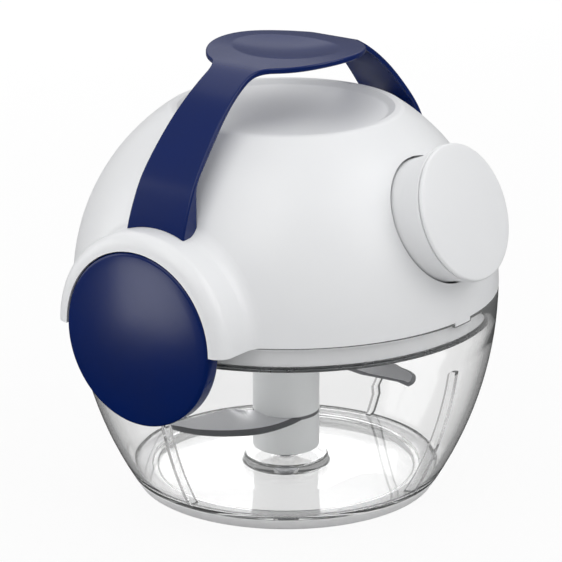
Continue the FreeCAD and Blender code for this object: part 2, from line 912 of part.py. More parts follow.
def inner_cover():
    """Cover that closes the dome from below: skirt, plate, raised turret and the reel's pillars."""
    low = parting - skirt_depth
    rebate_depth = seal_height + seat_clearance
    skirt = tube(skirt_radius, skirt_radius - skirt_wall, low, plate_top)
    plate = cylinder(skirt_radius, plate_bottom, plate_top)
    plate = plate.cut(cylinder(turret_radius - cover_plate, plate_bottom - 1, plate_top + 1))
    turret = cylinder(turret_radius, plate_bottom, turret_top)
    turret = turret.cut(cylinder(turret_radius - cover_plate, plate_bottom - 1, turret_ceiling))
    turret = round_edges(turret, turret_round, lambda e: is_ring(e, turret_radius, turret_top))
    pad_top = plate_top + cover_boss_rise
    pad = cylinder(cover_boss_radius, plate_bottom, pad_top, (cover_screw_circle, 0))
    pillar = cylinder(pillar_radius, plate_top - 1, pillar_top, (0, pillar_circle))
    case_boss_low = turret_top - case_screw_length - thread_spare
    case_boss = cylinder(case_boss_radius, case_boss_low, turret_ceiling + 1, (0, case_screw_circle))
    case_boss = case_boss.common(cylinder(turret_radius - 1, case_boss_low - 1, turret_top))
    pieces = [skirt, plate, turret] + around(case_boss, pillar_count, 60.0)
    pieces += around(pad, cover_screw_count, 180.0 / cover_screw_count)
    pieces += around(pillar, pillar_count)
    cover = joined(pieces)
    head_well = cylinder(
        cover_screw_head_radius + seat_clearance,
        plate_bottom - 1,
        plate_bottom + cover_screw_head_height,
        (cover_screw_circle, 0),
    )
    hole = cylinder(
        cover_screw_radius + seat_clearance, plate_bottom, parting + 20, (cover_screw_circle, 0)
    )
    for cutter in (head_well, hole):
        for copy in around(cutter, cover_screw_count, 180.0 / cover_screw_count):
            cover = cover.cut(copy)
    thread = cylinder(
        small_screw_radius + thread_clearance,
        pillar_top - small_screw_length,
        pillar_top + 1,
        (0, pillar_circle),
    )
    case_thread = cylinder(
        small_screw_radius + thread_clearance,
        turret_top - case_screw_length,
        turret_top + 1,
        (0, case_screw_circle),
    )
    for copy in around(thread, pillar_count) + around(case_thread, pillar_count, 60.0):
        cover = cover.cut(copy)
    bush_hole = journal_radius + running_clearance + bush_sleeve_wall + held_clearance
    cover = cover.cut(cylinder(bush_hole, parting, turret_top + 1))
    rebate_radius = skirt_radius + skirt_gap - seal_width - seat_clearance
    return cover.cut(tube(skirt_radius + 1, rebate_radius, low - 1, low + rebate_depth))


def seal_ring():
    """Silicone lip round the bottom of the skirt, against the bowl's land."""
    low = parting - skirt_depth
    outer = seal_land_radius - seat_clearance
    inner = skirt_radius + skirt_gap - seal_width
    return tube(outer, inner, low, low + seal_height)


def cover_screws():
    """Four screws that hold the inner cover to the dome."""
    seat = vec(cover_screw_circle, 0, plate_bottom + cover_screw_head_height)
    one = screw(
        cover_screw_radius,
        cover_screw_length - cover_screw_head_height - thread_spare,
        cover_screw_head_radius,
        cover_screw_head_height,
        seat,
        UP,
    )
    return Part.makeCompound(around(one, cover_screw_count, 180.0 / cover_screw_count))


def cover_bush():
    """Bearing bush in the turret for the drive shaft's lower journal."""
    inner = journal_radius + running_clearance
    outer = inner + bush_sleeve_wall
    collar_top = turret_top + bush_collar_thickness
    sleeve = tube(outer, inner, cover_bush_bottom, collar_top)
    collar = tube(bush_collar_radius, inner, turret_top, collar_top)
    return joined([sleeve, collar])


def spring_case():
    """Cup that holds the rewind spring, screwed to the turret."""
    wall = tube(spring_case_radius, spring_case_radius - spring_case_wall, case_bottom, case_top)
    floor = tube(
        spring_case_flange_radius,
        bush_collar_radius + seat_clearance,
        case_bottom,
        case_bottom + spring_case_floor,
    )
    case = joined([wall, floor])
    hole = cylinder(
        small_screw_radius + seat_clearance, case_bottom - 1, case_bottom + 5, (0, case_screw_circle)
    )
    for copy in around(hole, pillar_count, 60.0):
        case = case.cut(copy)
    slot = block(
        (0, spring_case_radius - spring_case_wall - 1, case_bottom + spring_case_floor),
        (spring_strip + 2 * seat_clearance, spring_case_radius + 1, case_top + 1),
    )
    return case.cut(slot)


def case_screws():
    """Three screws that hold the spring case to the turret."""
    seat = vec(0, case_screw_circle, case_bottom + spring_case_floor)
    one = screw(
        small_screw_radius,
        case_screw_length - thread_spare,
        small_screw_head_radius,
        small_screw_head_height,
        seat,
        UP * -1,
    )
    return Part.makeCompound(around(one, pillar_count, 60.0))


def spiral_point(angle, start_radius, step):
    radius = start_radius + step * angle / (2 * math.pi)
    return vec(radius * math.cos(angle), radius * math.sin(angle), 0)


def rewind_spring():
    """Flat spiral strip: its inner end is hooked in the shaft and its outer end in the case."""
    inner = spindle_radius + spring_inner_gap
    outer = spring_case_radius - spring_case_wall - spring_outer_gap - spring_strip
    step = (outer - inner) / spring_turns
    low = spring_bottom
    last = 2 * math.pi * spring_turns
    quarters = int(round(last / (math.pi / 2)))
    edges_in = []
    edges_out = []
    for i in range(quarters):
        angles = [last * (i + share) / quarters for share in (0.0, 0.5, 1.0)]
        near = [spiral_point(a, inner, step) for a in angles]
        far = [spiral_point(a, inner + spring_strip, step) for a in angles]
        edges_in.append(arc(*near))
        edges_out.append(arc(*far))
    start = line(spiral_point(0, inner, step), spiral_point(0, inner + spring_strip, step))
    end = line(spiral_point(last, inner, step), spiral_point(last, inner + spring_strip, step))
    face = Part.Face(Part.Wire(Part.__sortEdges__(edges_in + edges_out + [start, end])))
    strip = face.extrude(vec(0, 0, spring_width))
    strip.translate(vec(0, 0, low))
    inner_hook = block(
        (spindle_radius - spring_hook_depth, 0, low),
        (inner + spring_strip, spring_strip, low + spring_width),
    )
    outer_hook = block(
        (seat_clearance, outer - step / 4, low),
        (seat_clearance + spring_strip, spring_case_radius - seat_clearance, low + spring_width),
    )
    return joined([strip, inner_hook, outer_hook])


def drive_shaft():
    """Shaft that joins the reel to the blades: six-sided nose, journal, spindle and top journal."""
    nose = hexagon(drive_flats, drive_tip, journal_bottom)
    point = Part.makeCone(
        drive_flats / 2 - drive_point_inset,
        drive_flats / math.sqrt(3) + drive_point_inset,
        drive_point_length,
        vec(0, 0, drive_tip),
        UP,
    )
    point = point.fuse(cylinder(drive_flats, drive_tip + drive_point_length, journal_bottom))
    nose = nose.common(point)
    journal_top = turret_top + bush_collar_thickness + journal_proud
    journal = cylinder(journal_radius, journal_bottom, journal_top)
    spindle = cylinder(spindle_radius, turret_top, reel_bottom)
    keyed = single_flat(spindle_radius, spindle_half_flat, reel_bottom, spindle_top)
    top = cylinder(top_journal_radius, reel_top, drive_top)
    shaft = joined([nose, journal, spindle, keyed, top])
    hook_slot = block(
        (
            spindle_radius - spring_hook_depth - seat_clearance,
            -seat_clearance,
            spring_bottom - seat_clearance,
        ),
        (
            spindle_radius + 1,
            spring_strip + seat_clearance,
            spring_bottom + spring_width + seat_clearance,
        ),
    )
    ring_groove = tube(
        spindle_radius + 1,
        spindle_radius - shaft_ring_bite - held_clearance,
        shaft_ring_bottom,
        shaft_ring_bottom + shaft_ring_thickness,
    )
    return shaft.cut(hook_slot).cut(ring_groove)


def shaft_ring():
    """Open ring on the shaft, which keeps the reel down on its seat."""
    high = shaft_ring_bottom + shaft_ring_thickness
    ring = tube(shaft_ring_radius, spindle_radius - shaft_ring_bite, shaft_ring_bottom, high)
    half = spindle_radius * shaft_ring_opening_share
    gap = block((-shaft_ring_radius - 1, -half, shaft_ring_bottom - 1), (0, half, high + 1))
    return ring.cut(gap)


def reel():
    """Spool for the cord, keyed on the drive shaft's flat."""
    groove_low = reel_bottom + reel_flange_thickness
    groove_high = groove_low + reel_groove_width
    core = cylinder(reel_core_radius, reel_bottom, reel_top)
    lower = cylinder(reel_flange_radius, reel_bottom, groove_low)
    upper = cylinder(reel_flange_radius, groove_high, reel_top)
    spool = joined([core, lower, upper])
    spool = round_edges(spool, reel_edge_round, lambda e: is_ring(e, reel_flange_radius))
    bore = single_flat(
        spindle_radius + keyed_clearance,
        spindle_half_flat + keyed_clearance,
        reel_bottom - 1,
        reel_top + 1,
    )
    window = cylinder(reel_window_radius, groove_high - 1, reel_top + 1, (0, reel_window_circle))
    spool = spool.cut(bore)
    for copy in around(window, reel_window_count, 180.0 / reel_window_count):
        spool = spool.cut(copy)
    return spool


def cord_winding():
    """Cord that is wound on the reel while the knob is home."""
    low = reel_bottom + reel_flange_thickness + seat_clearance
    high = low + reel_groove_width - 2 * seat_clearance
    coil = tube(winding_radius, reel_core_radius + seat_clearance, low, high)
    return round_edges(coil, cord_radius, lambda e: is_ring(e, winding_radius))


def reel_cover():
    """Plate over the reel, carried on the three pillars, with the seat for the top bush."""
    low = pillar_top
    high = low + reel_cover_thickness
    plate = cylinder(reel_cover_radius, low, high)
    plate = round_edges(plate, reel_cover_round, lambda e: is_ring(e, reel_cover_radius))
    hole = cylinder(small_screw_radius + seat_clearance, low - 1, high + 1, (0, pillar_circle))
    for copy in around(hole, pillar_count):
        plate = plate.cut(copy)
    window = cylinder(reel_cover_window_radius, low - 1, high + 1, (0, -reel_cover_window_circle))
    for copy in around(window, pillar_count):
        plate = plate.cut(copy)
    bush_hole = cylinder(top_bush_outer() + held_clearance, low - 1, high + 1)
    return plate.cut(bush_hole)


def top_bush_outer():
    return top_journal_radius + running_clearance + bush_sleeve_wall


def top_bush():
    """Bearing bush in the reel cover for the shaft's top journal."""
    inner = top_journal_radius + running_clearance
    high = pillar_top + reel_cover_thickness
    sleeve = tube(top_bush_outer(), inner, pillar_top - top_bush_drop, high)
    collar_radius = top_bush_outer() + top_bush_collar_width
    collar = tube(collar_radius, inner, high, high + top_bush_collar_thickness)
    return joined([sleeve, collar])


def reel_cover_screws():
    """Three screws that hold the reel cover to its pillars."""
    seat = vec(0, pillar_circle, pillar_top + reel_cover_thickness)
    one = screw(
        small_screw_radius,
        small_screw_length - thread_spare,
        small_screw_head_radius,
        small_screw_head_height,
        seat,
        UP * -1,
    )
    return Part.makeCompound(around(one, pillar_count))


def cord_guide():
    """Smooth flanged eyelet in the socket's floor, which the cord runs through."""
    back = socket_floor_distance - socket_wall - eyelet_flange_thickness
    sleeve = pull_cylinder(eyelet_radius, back, socket_floor_distance)
    flange = pull_cylinder(eyelet_flange_radius, back, back + eyelet_flange_thickness)
    body = sleeve.fuse(flange).removeSplitter()
    bore = pull_cylinder(eyelet_bore_radius, back - 1, socket_floor_distance + 1)
    mouth = pull_cone(eyelet_mouth_radius, eyelet_bore_radius, back, back + eyelet_mouth_depth)
    return body.cut(bore).cut(mouth)


def knob_radius(distance):
    """Radius of the knob's side at a distance along the pull axis: a straight neck, then a flare."""
    share = (distance - knob_flare_distance) / (knob_face_distance - knob_flare_distance)
    return knob_neck_radius + max(share, 0.0) * (knob_face_radius - knob_neck_radius)


def knob_form(inset, back):
    """Knob's round form from a distance along the pull axis to the cap, moved in by inset."""
    neck = knob_neck_radius - inset
    face = knob_face_radius - inset
    flare = pull_cone(neck, face, knob_flare_distance, knob_face_distance)
    return pull_cylinder(neck, back, knob_flare_distance).fuse(flare).removeSplitter()


def knob_body():
    """Knob's side and back: a flared cup with a stem for the cord."""
    outside = knob_form(0, knob_back_distance)
    hollow = knob_form(knob_wall, knob_back_distance + knob_wall)
    stem = pull_cylinder(knob_stem_radius, knob_back_distance, cord_stop_distance)
    body = outside.cut(hollow).fuse(stem).removeSplitter()
    bore = pull_cylinder(cord_radius + loose_clearance, knob_back_distance - 1, knob_face_distance)
    return body.cut(bore)


def knob_cap():
    """Slightly domed face of the knob, with a spigot that presses into the body."""

    def at(distance, radius):
        return pull_start + pull * distance + across * radius

    low = knob_face_distance
    shoulder = low + knob_cap_thickness
    top = shoulder + knob_crown
    tip = low - knob_spigot_depth
    spigot_outer = knob_radius(tip) - knob_wall - seat_clearance
    spigot_inner = spigot_outer - knob_spigot_wall
    crown_radius = (knob_face_radius**2 + knob_crown**2) / (2 * knob_crown)
    half = knob_face_radius / 2
    crown_middle = at(top - crown_radius + math.sqrt(crown_radius**2 - half**2), half)
    corners = [
        at(top, 0),
        at(low, 0),
        at(low, spigot_inner),
        at(tip, spigot_inner),
        at(tip, spigot_outer),
        at(low, spigot_outer),
        at(low, knob_face_radius),
        at(shoulder, knob_face_radius),
    ]
    edges = [line(corners[i], corners[i + 1]) for i in range(len(corners) - 1)]
    edges.append(arc(corners[-1], crown_middle, corners[0]))
    cap = turned(edges, pull, pull_start)

    def is_face_rim(edge):
        level = pull.dot(edge.CenterOfMass - pull_start)
        return is_circle(edge) and abs(level - shoulder) < 0.01

    return round_edges(cap, knob_edge_round, is_face_rim)


def cord_stopper():
    """Crimped ferrule on the cord's end, which pulls on the knob's stem."""
    low = cord_stop_distance
    barrel = pull_cylinder(stopper_radius, low, low + stopper_length)
    rim = [
        e
        for e in barrel.Edges
        if is_circle(e) and abs(e.Curve.Radius - stopper_radius) < 0.01
    ]
    barrel = barrel.makeFillet(stopper_round, rim)
    hole_end = low + stopper_length - stopper_end_wall
    return barrel.cut(pull_cylinder(cord_radius + held_clearance, low - 1, hole_end))


def cord_path():
    """Corner points of the cord's run: off the winding, through the eyelet, into the knob.

    The cord leaves the winding at a tangent on the -X side, so a pull turns the reel anticlockwise
    as seen from above, with the blades' sharp edges in front.
    """
    off = winding_radius + cord_radius + loose_clearance
    angle = math.acos(off / abs(eyelet_centre.y))
    start = vec(-off * math.sin(angle), -off * math.cos(angle), reel_middle)
    end_distance = cord_stop_distance + stopper_length - stopper_end_wall - seat_clearance
    return start, eyelet_centre, pull_start + pull * end_distance


def pull_cord():
    """Cord from the winding to the knob: two straight runs and the bend at the eyelet."""
    start, corner, end = cord_path()
    first = (corner - start).normalize()
    second = (end - corner).normalize()
    turn = first.getAngle(second)
    trim = cord_bend_radius * math.tan(turn / 2)
    a = corner - first * trim
    b = corner + second * trim
    inward = (second - first).normalize()
    centre = corner + inward * (cord_bend_radius / math.cos(turn / 2))
    middle = centre - inward * cord_bend_radius
    path = Part.Wire([line(start, a), arc(a, middle, b), line(b, end)])
    section = Part.Wire(Part.Circle(start, first, cord_radius).toShape())
    cord = path.makePipeShell([section], True, True)
    length = sum(edge.Length for edge in path.Edges)
    print("pull cord run", round(length, 1), "mm, bend radius", cord_bend_radius)
    return cord


def spline(points, start_tangent, end_tangent):
    """Smooth edge through points, with a given direction at each end."""
    curve = Part.BSplineCurve()
    curve.interpolate(Points=points, InitialTangent=start_tangent, FinalTangent=end_tangent)
    return curve


def handle_side():
    """Side view of the +X half of the handle, as a face in the XZ plane."""
    top = parting + grip_height
    outer_points = [vec(x, 0, top - drop) for x, drop in handle_curve]
    last_run = outer_points[-1] - outer_points[-2]
    outer = spline(outer_points, vec(1, 0, 0), last_run.normalize())
    inner_points = []
    for point in outer_points:
        if point.x > strap_root_distance + 1:
            break
        along = outer.tangent(outer.parameter(point))[0]
        inward = vec(-abs(along.z), 0, -abs(along.x))
        depth = grip_thickness if point.x < strap_root_distance - 1 else strap_thickness
        inner_points.append(point + inward * depth)
    inner_points.append(vec(strap_inner_face, 0, top - strap_inner_drop))
    inner = spline(inner_points, vec(1, 0, 0), vec(0, 0, -1))
    foot = outer_points[-1]
    corner = vec(strap_inner_face, 0, foot.z)
    edges = [
        outer.toShape(),
        line(foot, corner),
        line(corner, inner_points[-1]),
        inner.toShape(),
        line(inner_points[0], outer_points[0]),
    ]
    return Part.Face(Part.Wire(Part.__sortEdges__(edges)))


def handle_plan():
    """Top view of the handle: an oval grip with a tapered strap to each side."""
    oval = Part.Ellipse(vec(0, 0, parting), grip_half_length, grip_half_width).toShape()
    rise = vec(0, 0, grip_height + ear_radius)
    disc = Part.Face(Part.Wire(oval)).extrude(rise)
    near = [vec(x, -half, parting) for x, half in handle_plan_curve]
    far = [vec(x, half, parting) for x, half in handle_plan_curve]
    sides = []
    for points in (near, far):
        curve = Part.BSplineCurve()
        curve.interpolate(Points=points)
        sides.append(curve.toShape())
    outline = Part.Wire(Part.__sortEdges__(sides + [line(near[0], far[0]), line(near[-1], far[-1])]))
    strap = Part.Face(outline).extrude(rise)
    whole = disc.fuse(strap).fuse(mirrored(strap)).removeSplitter()

    def is_corner(edge):
        upright = abs(edge.tangentAt(edge.FirstParameter).z) > 0.99
        place = edge.CenterOfMass
        beside_strap = 0.5 * grip_half_length < abs(place.x) < grip_half_length
        return upright and beside_strap and abs(place.y) > 1

    return round_edges(whole, strap_fillet, is_corner)


def grip_hollow(extra):
    """Ball that dishes the grip's top; extra makes it larger for the bulge below."""
    ball = (grip_dish_radius**2 + grip_dish_depth**2) / (2 * grip_dish_depth)
    middle = vec(0, 0, parting + grip_height - grip_dish_depth + ball)
    return Part.makeSphere(ball + extra, middle)


def handle():
    """One-piece handle: dished grip, two straps that stand on the ears, and a tang in each ear."""
    half = handle_side().extrude(vec(0, 2 * grip_half_width + 2, 0))
    half.translate(vec(0, -grip_half_width - 1, 0))
    whole = joined([half, mirrored(half)]).common(handle_plan())

    def is_outline(edge):
        bent = not edge.Degenerated and not isinstance(edge.Curve, Part.Line)
        return bent and abs(edge.CenterOfMass.y) > 5

    whole = round_edges(whole, handle_edge_round, is_outline)
    bulge_top = parting + grip_height - grip_thickness
    disc = cylinder(grip_half_width - 1, bulge_top - 10, bulge_top)
    bulge = grip_hollow(grip_dish_wall).common(disc)
    whole = whole.fuse(bulge).cut(grip_hollow(0)).removeSplitter()

    def is_dish_rim(edge):
        if edge.Degenerated or edge.Length < grip_dish_radius:
            return False
        spans = [math.hypot(v.X, v.Y) for v in edge.Vertexes]
        return all(abs(span - grip_dish_radius) < 1.5 for span in spans)

    whole = round_edges(whole, grip_dish_round, is_dish_rim)
    ears = side_cylinder(ear_radius + seat_clearance, -ear_reach, ear_reach, lock_centre_z)
    whole = whole.cut(ears)
    whole = whole.cut(lid_outside())
    tang = block(
        (tang_inner_face, -tang_half_width, parting + ear_radius - tang_depth),
        (tang_inner_face + tang_thickness, tang_half_width, parting + ear_radius + tang_root),
    )
    hole = side_cylinder(
        handle_screw_radius + thread_clearance,
        tang_inner_face - 1,
        tang_inner_face + tang_thickness - tang_hole_floor,
        parting + handle_screw_height,
    )
    whole = joined([whole, tang, mirrored(tang)])
    return whole.cut(hole).cut(mirrored(hole))


def handle_screws():
    """Two screws, one through each bracket into the handle's tang."""
    seat = vec(
        tang_inner_face - seat_clearance - bracket_thickness, 0, parting + handle_screw_height
    )
    one = screw(
        handle_screw_radius,
        bracket_thickness + tang_thickness - thread_spare,
        handle_screw_head_radius,
        handle_screw_head_height,
        seat,
        vec(1, 0, 0),
    )
    return Part.makeCompound([one, mirrored(one)])


def lug_track():
    """Groove in the lock's cam, for the lug: straight in from the edge, then round the pivot."""
    half = lug_radius + lug_clearance
    straight = block(
        (cam_back - 1, -half, lock_centre_z - lock_radius - 1),
        (cam_back + groove_depth, half, lock_centre_z - lug_drop),
    )
    ring = side_cylinder(lug_drop + half, cam_back - 1, cam_back + groove_depth, lock_centre_z)
    ring = ring.cut(side_cylinder(lug_drop - half, cam_back - 2, cam_back + 9, lock_centre_z))
    quarter = block(
        (cam_back - 1, 0, lock_centre_z - lock_radius),
        (cam_back + groove_depth, lock_radius, lock_centre_z),
    )
    arc_part = ring.common(quarter)
    start = side_cylinder(
        half, cam_back - 1, cam_back + groove_depth, lock_centre_z - lug_drop
    )
    end = side_cylinder(half, cam_back - 1, cam_back + groove_depth, lock_centre_z, lug_drop)
    return straight.fuse(arc_part).fuse(start).fuse(end)


def lock_cam():
    """Cam plate of the +X turn lock, which turns on the lid's stub and catches the bowl's lug."""
    plate = side_cylinder(cam_radius, cam_back, cam_front, lock_centre_z)
    web_back = stub_end + running_clearance
    pivot = side_cylinder(
        pivot_stub_radius + running_clearance, cam_back - 1, web_back, lock_centre_z
    )
    recess = side_cylinder(lock_recess_radius, web_back + cam_web, cam_front + 1, lock_centre_z)
    hole = side_cylinder(
        lock_screw_radius + loose_clearance, cam_back, cam_front + 1, lock_centre_z
    )
    return plate.cut(pivot).cut(recess).cut(hole).cut(lug_track())


def lock_cap():
    """Crowned cover of the +X turn lock: a shallow cup over the cam."""
    cup = side_cylinder(lock_radius, cam_back, lock_face_reach + lock_crown, lock_centre_z)
    crown_radius = (lock_radius**2 + lock_crown**2) / (2 * lock_crown)
    ball = Part.makeSphere(
        crown_radius, vec(lock_face_reach + lock_crown - crown_radius, 0, lock_centre_z)
    )
    cup = cup.common(ball)
    edge = [
        e
        for e in cup.Edges
        if is_circle(e) and abs(e.Curve.Center.x - lock_face_reach) < 0.05
    ]
    cup = cup.makeFillet(lock_edge_round, edge)
    hollow = side_cylinder(cam_radius + held_clearance, cam_back - 1, cam_front, lock_centre_z)
    head_room = side_cylinder(
        lock_recess_radius, cam_front - 1, lock_face_reach + lock_crown - cap_wall, lock_centre_z
    )
    mouth = block(
        (cam_back - 1, -lug_radius - lug_clearance, lock_centre_z - lock_radius - 1),
        (cam_back + groove_depth, lug_radius + lug_clearance, lock_centre_z - lug_drop),
    )
    return cup.cut(hollow).cut(head_room).cut(mouth)


def lock_screws():
    """Two screws that hold the turn locks on their stubs."""
    seat = vec(washer_seat + lock_washer_thickness, 0, lock_centre_z)
    one = screw(
        lock_screw_radius,
        seat.x - pocket_floor + ear_end_wall - seat_clearance,
        lock_screw_head_radius,
        lock_screw_head_height,
        seat,
        vec(-1, 0, 0),
    )
    return Part.makeCompound([one, mirrored(one)])


def lock_washers():
    """Two washers under the heads of the lock screws."""
    low = washer_seat
    high = low + lock_washer_thickness
    one = side_cylinder(lock_washer_radius, low, high, lock_centre_z)
    hole = side_cylinder(lock_screw_radius + held_clearance, low - 1, high + 1, lock_centre_z)
    one = one.cut(hole)
    return Part.makeCompound([one, mirrored(one)])


def all_pieces():
    """Every piece by the name of its node."""
    cam = lock_cam()
    cap = lock_cap()
    return {
        "bowl": bowl(),
        "foot_ring": foot_ring(),
        "pivot_pin": pivot_pin(),
        "pivot_bush": pivot_bush(),
        "blade_hub": blade_hub(),
        "bush_retaining_ring": retaining_ring(),
        "lower_blade": lower_blade(),
        "blade_spacer": blade_spacer(),
        "upper_blade": upper_blade(),
        "hub_cap": hub_cap(),
        "hub_screw": hub_screw(),
        "lid_shell": lid_shell(),
        "inner_cover": inner_cover(),
        "seal_ring": seal_ring(),
        "cover_screws": cover_screws(),
        "cover_bush": cover_bush(),
        "spring_case": spring_case(),
        "spring_case_screws": case_screws(),
        "rewind_spring": rewind_spring(),
        "drive_shaft": drive_shaft(),
        "shaft_ring": shaft_ring(),
        "reel": reel(),
        "cord_winding": cord_winding(),
        "reel_cover": reel_cover(),
        "top_bush": top_bush(),
        "reel_cover_screws": reel_cover_screws(),
        "cord_guide": cord_guide(),
        "pull_cord": pull_cord(),
        "cord_stopper": cord_stopper(),
        "knob_body": knob_body(),
        "knob_cap": knob_cap(),
        "handle": handle(),
        "handle_screws": handle_screws(),
        "lock_cam_right": cam,
        "lock_cam_left": mirrored(cam),
        "lock_cap_right": cap,
        "lock_cap_left": mirrored(cap),
        "lock_screws": lock_screws(),
        "lock_washers": lock_washers(),
    }


os.makedirs("parts", exist_ok=True)
for node, shape in all_pieces().items():
    shape.exportStep(f"parts/{node}.step")
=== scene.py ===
# %% [markdown]
# # A pull-string food chopper
#
# This lesson dresses a hand-powered food chopper: a clear bowl with curved blades, a white domed
# lid with a pull knob, and a dark blue handle with a turn lock at each side. The construction comes
# in as a fixed frame, at its real size. Blender gives it its surfaces, its finer forms and its
# light.

import math

import bpy
from mathutils import Matrix, Vector


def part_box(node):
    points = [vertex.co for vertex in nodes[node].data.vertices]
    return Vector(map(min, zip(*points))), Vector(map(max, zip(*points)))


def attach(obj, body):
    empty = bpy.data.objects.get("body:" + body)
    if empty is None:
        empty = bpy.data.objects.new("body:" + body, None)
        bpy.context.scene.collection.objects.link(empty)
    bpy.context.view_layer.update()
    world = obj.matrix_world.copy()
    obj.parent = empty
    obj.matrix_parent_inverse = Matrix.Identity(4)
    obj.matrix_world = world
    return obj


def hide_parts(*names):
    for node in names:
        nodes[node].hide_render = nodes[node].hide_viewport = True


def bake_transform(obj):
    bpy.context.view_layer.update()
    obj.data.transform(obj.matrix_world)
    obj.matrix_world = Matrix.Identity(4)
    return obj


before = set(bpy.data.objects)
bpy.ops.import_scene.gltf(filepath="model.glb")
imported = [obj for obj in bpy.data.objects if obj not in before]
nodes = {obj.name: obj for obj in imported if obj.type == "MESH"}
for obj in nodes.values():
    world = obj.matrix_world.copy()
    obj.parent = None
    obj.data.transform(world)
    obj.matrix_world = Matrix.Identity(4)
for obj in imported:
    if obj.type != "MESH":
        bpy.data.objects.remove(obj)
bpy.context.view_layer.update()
print("construction pieces:", len(nodes))

# %% [markdown]
# ## Units and places
#
# Blender works in metres, and this object is easier to think of in millimetres, so one helper turns
# millimetres to metres. The knob is pulled along a line that leans up from the level, so that line
# and one square to it are kept as directions.

# %% Millimetres and main places
MM = 0.001
RIM_HEIGHT = 73.7


def mm(*values):
    """A point or a length in millimetres, as metres."""
    if len(values) == 1:
        return values[0] * MM
    return Vector(values) * MM


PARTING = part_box("foot_ring")[0].z + mm(RIM_HEIGHT)
KNOB_TILT = math.radians(21.66)
PULL = Vector((0, -math.cos(KNOB_TILT), math.sin(KNOB_TILT)))
ACROSS = Vector((0, math.sin(KNOB_TILT), math.cos(KNOB_TILT)))
KNOB_AXIS_RISE = mm(8.29)
AXIS_CROSSING = Vector((0, 0, PARTING + KNOB_AXIS_RISE))
PULL_START = AXIS_CROSSING - PULL * (KNOB_AXIS_RISE * math.sin(KNOB_TILT))
print("parting plane at", round(PARTING / MM, 2), "mm")

# %% [markdown]
# ## The camera
#
# The photograph was taken from the left front and a little above, with a long lens, because the
# upright edges hardly lean together. A long lens from one metre away gives the same calm look. The
# camera is built from its own three directions: back towards the viewer, right and up.

# %% Camera
CAMERA_AZIMUTH = math.radians(-53.19)
CAMERA_ELEVATION = math.radians(18.04)
CAMERA_DISTANCE = 1.020
CAMERA_LENS = 184.5
CAMERA_SHIFT = (-0.0090, -0.0046)

BACK = Vector((
    math.sin(CAMERA_AZIMUTH) * math.cos(CAMERA_ELEVATION),
    -math.cos(CAMERA_AZIMUTH) * math.cos(CAMERA_ELEVATION),
    math.sin(CAMERA_ELEVATION),
))
RIGHT = Vector((math.cos(CAMERA_AZIMUTH), math.sin(CAMERA_AZIMUTH), 0))
OVER = BACK.cross(RIGHT)
AIM = Vector((0, 0, PARTING))

camera_data = bpy.data.cameras.new("camera")
camera_data.lens = CAMERA_LENS
camera_data.sensor_width = 36.0
camera_data.shift_x, camera_data.shift_y = CAMERA_SHIFT
camera_data.clip_end = 20.0
camera = bpy.data.objects.new("camera", camera_data)
bpy.context.scene.collection.objects.link(camera)
camera.location = AIM + BACK * CAMERA_DISTANCE
camera.rotation_mode = "QUATERNION"
camera.rotation_quaternion = Matrix((RIGHT, OVER, BACK)).transposed().to_quaternion()
bpy.context.scene.camera = camera
bpy.context.scene.view_settings.view_transform = "Standard"
print("camera stands", round(CAMERA_DISTANCE, 3), "m from the lid's rim")

# %% [markdown]
# ## Colours and nodes
#
# Colours are written as the hex values that one would read off a screen. Shaders want linear light,
# so one function turns them. Another adds a node and wires its inputs in one go, which keeps each
# material's recipe short enough to read as a list.

# %% Colour and node helpers
def linear(code, alpha=1.0):
    """A hex colour such as 1B2F66 as linear red, green, blue and alpha."""
    values = []
    for start in (0, 2, 4):
        share = int(code[start:start + 2], 16) / 255
        values.append(share / 12.92 if share <= 0.04045 else ((share + 0.055) / 1.055) ** 2.4)
    return (*values, alpha)


def add_node(tree, kind, inputs=None, **settings):
    """Adds a node. Each input is a plain value, or another node's output to link from."""
    made = tree.nodes.new(kind)
    for name, value in settings.items():
        setattr(made, name, value)
    for key, value in (inputs or {}).items():
        if isinstance(value, bpy.types.NodeSocket):
            tree.links.new(value, made.inputs[key])
        else:
            made.inputs[key].default_value = value
    return made


def start_material(name):
    """An empty node material, and the spot on the piece in millimetres for its patterns."""
    material = bpy.data.materials.new(name)
    material.use_nodes = True
    tree = material.node_tree
    tree.nodes.clear()
    surface = add_node(tree, "ShaderNodeTexCoord")
    spot = add_node(
        tree,
        "ShaderNodeVectorMath",
        {0: surface.outputs["Object"], "Scale": 1 / MM},
        operation="SCALE",
    )
    return material, tree, spot.outputs[0]


def finish_material(tree, shader_inputs):
    """Adds the surface shader with its inputs, and the output."""
    shader = add_node(tree, "ShaderNodeBsdfPrincipled", shader_inputs)
    add_node(tree, "ShaderNodeOutputMaterial", {"Surface": shader.outputs[0]})


print("a mid grey of 808080 is", round(linear("808080")[0], 3), "in linear light")

# %% [markdown]
# ## Moulded plastics
#
# The lid is white ABS, injection moulded in a polished tool. It isn't a mirror: the skin has a very
# slow waviness, called orange peel, and the gloss changes a little where hands have rubbed it. Two
# noises do both. The same recipe in dark blue gives the handle and the locks, so it is a function.
#
# A denoiser treats a surface with a roughness under about 0.27 as a mirror. If the uneven gloss
# crossed that value, its contour would show as a thin line, so the dark blue stays under it and the
# other plastics stay over it.

# %% Moulded plastic
HANDLED_SIZE = 23.0


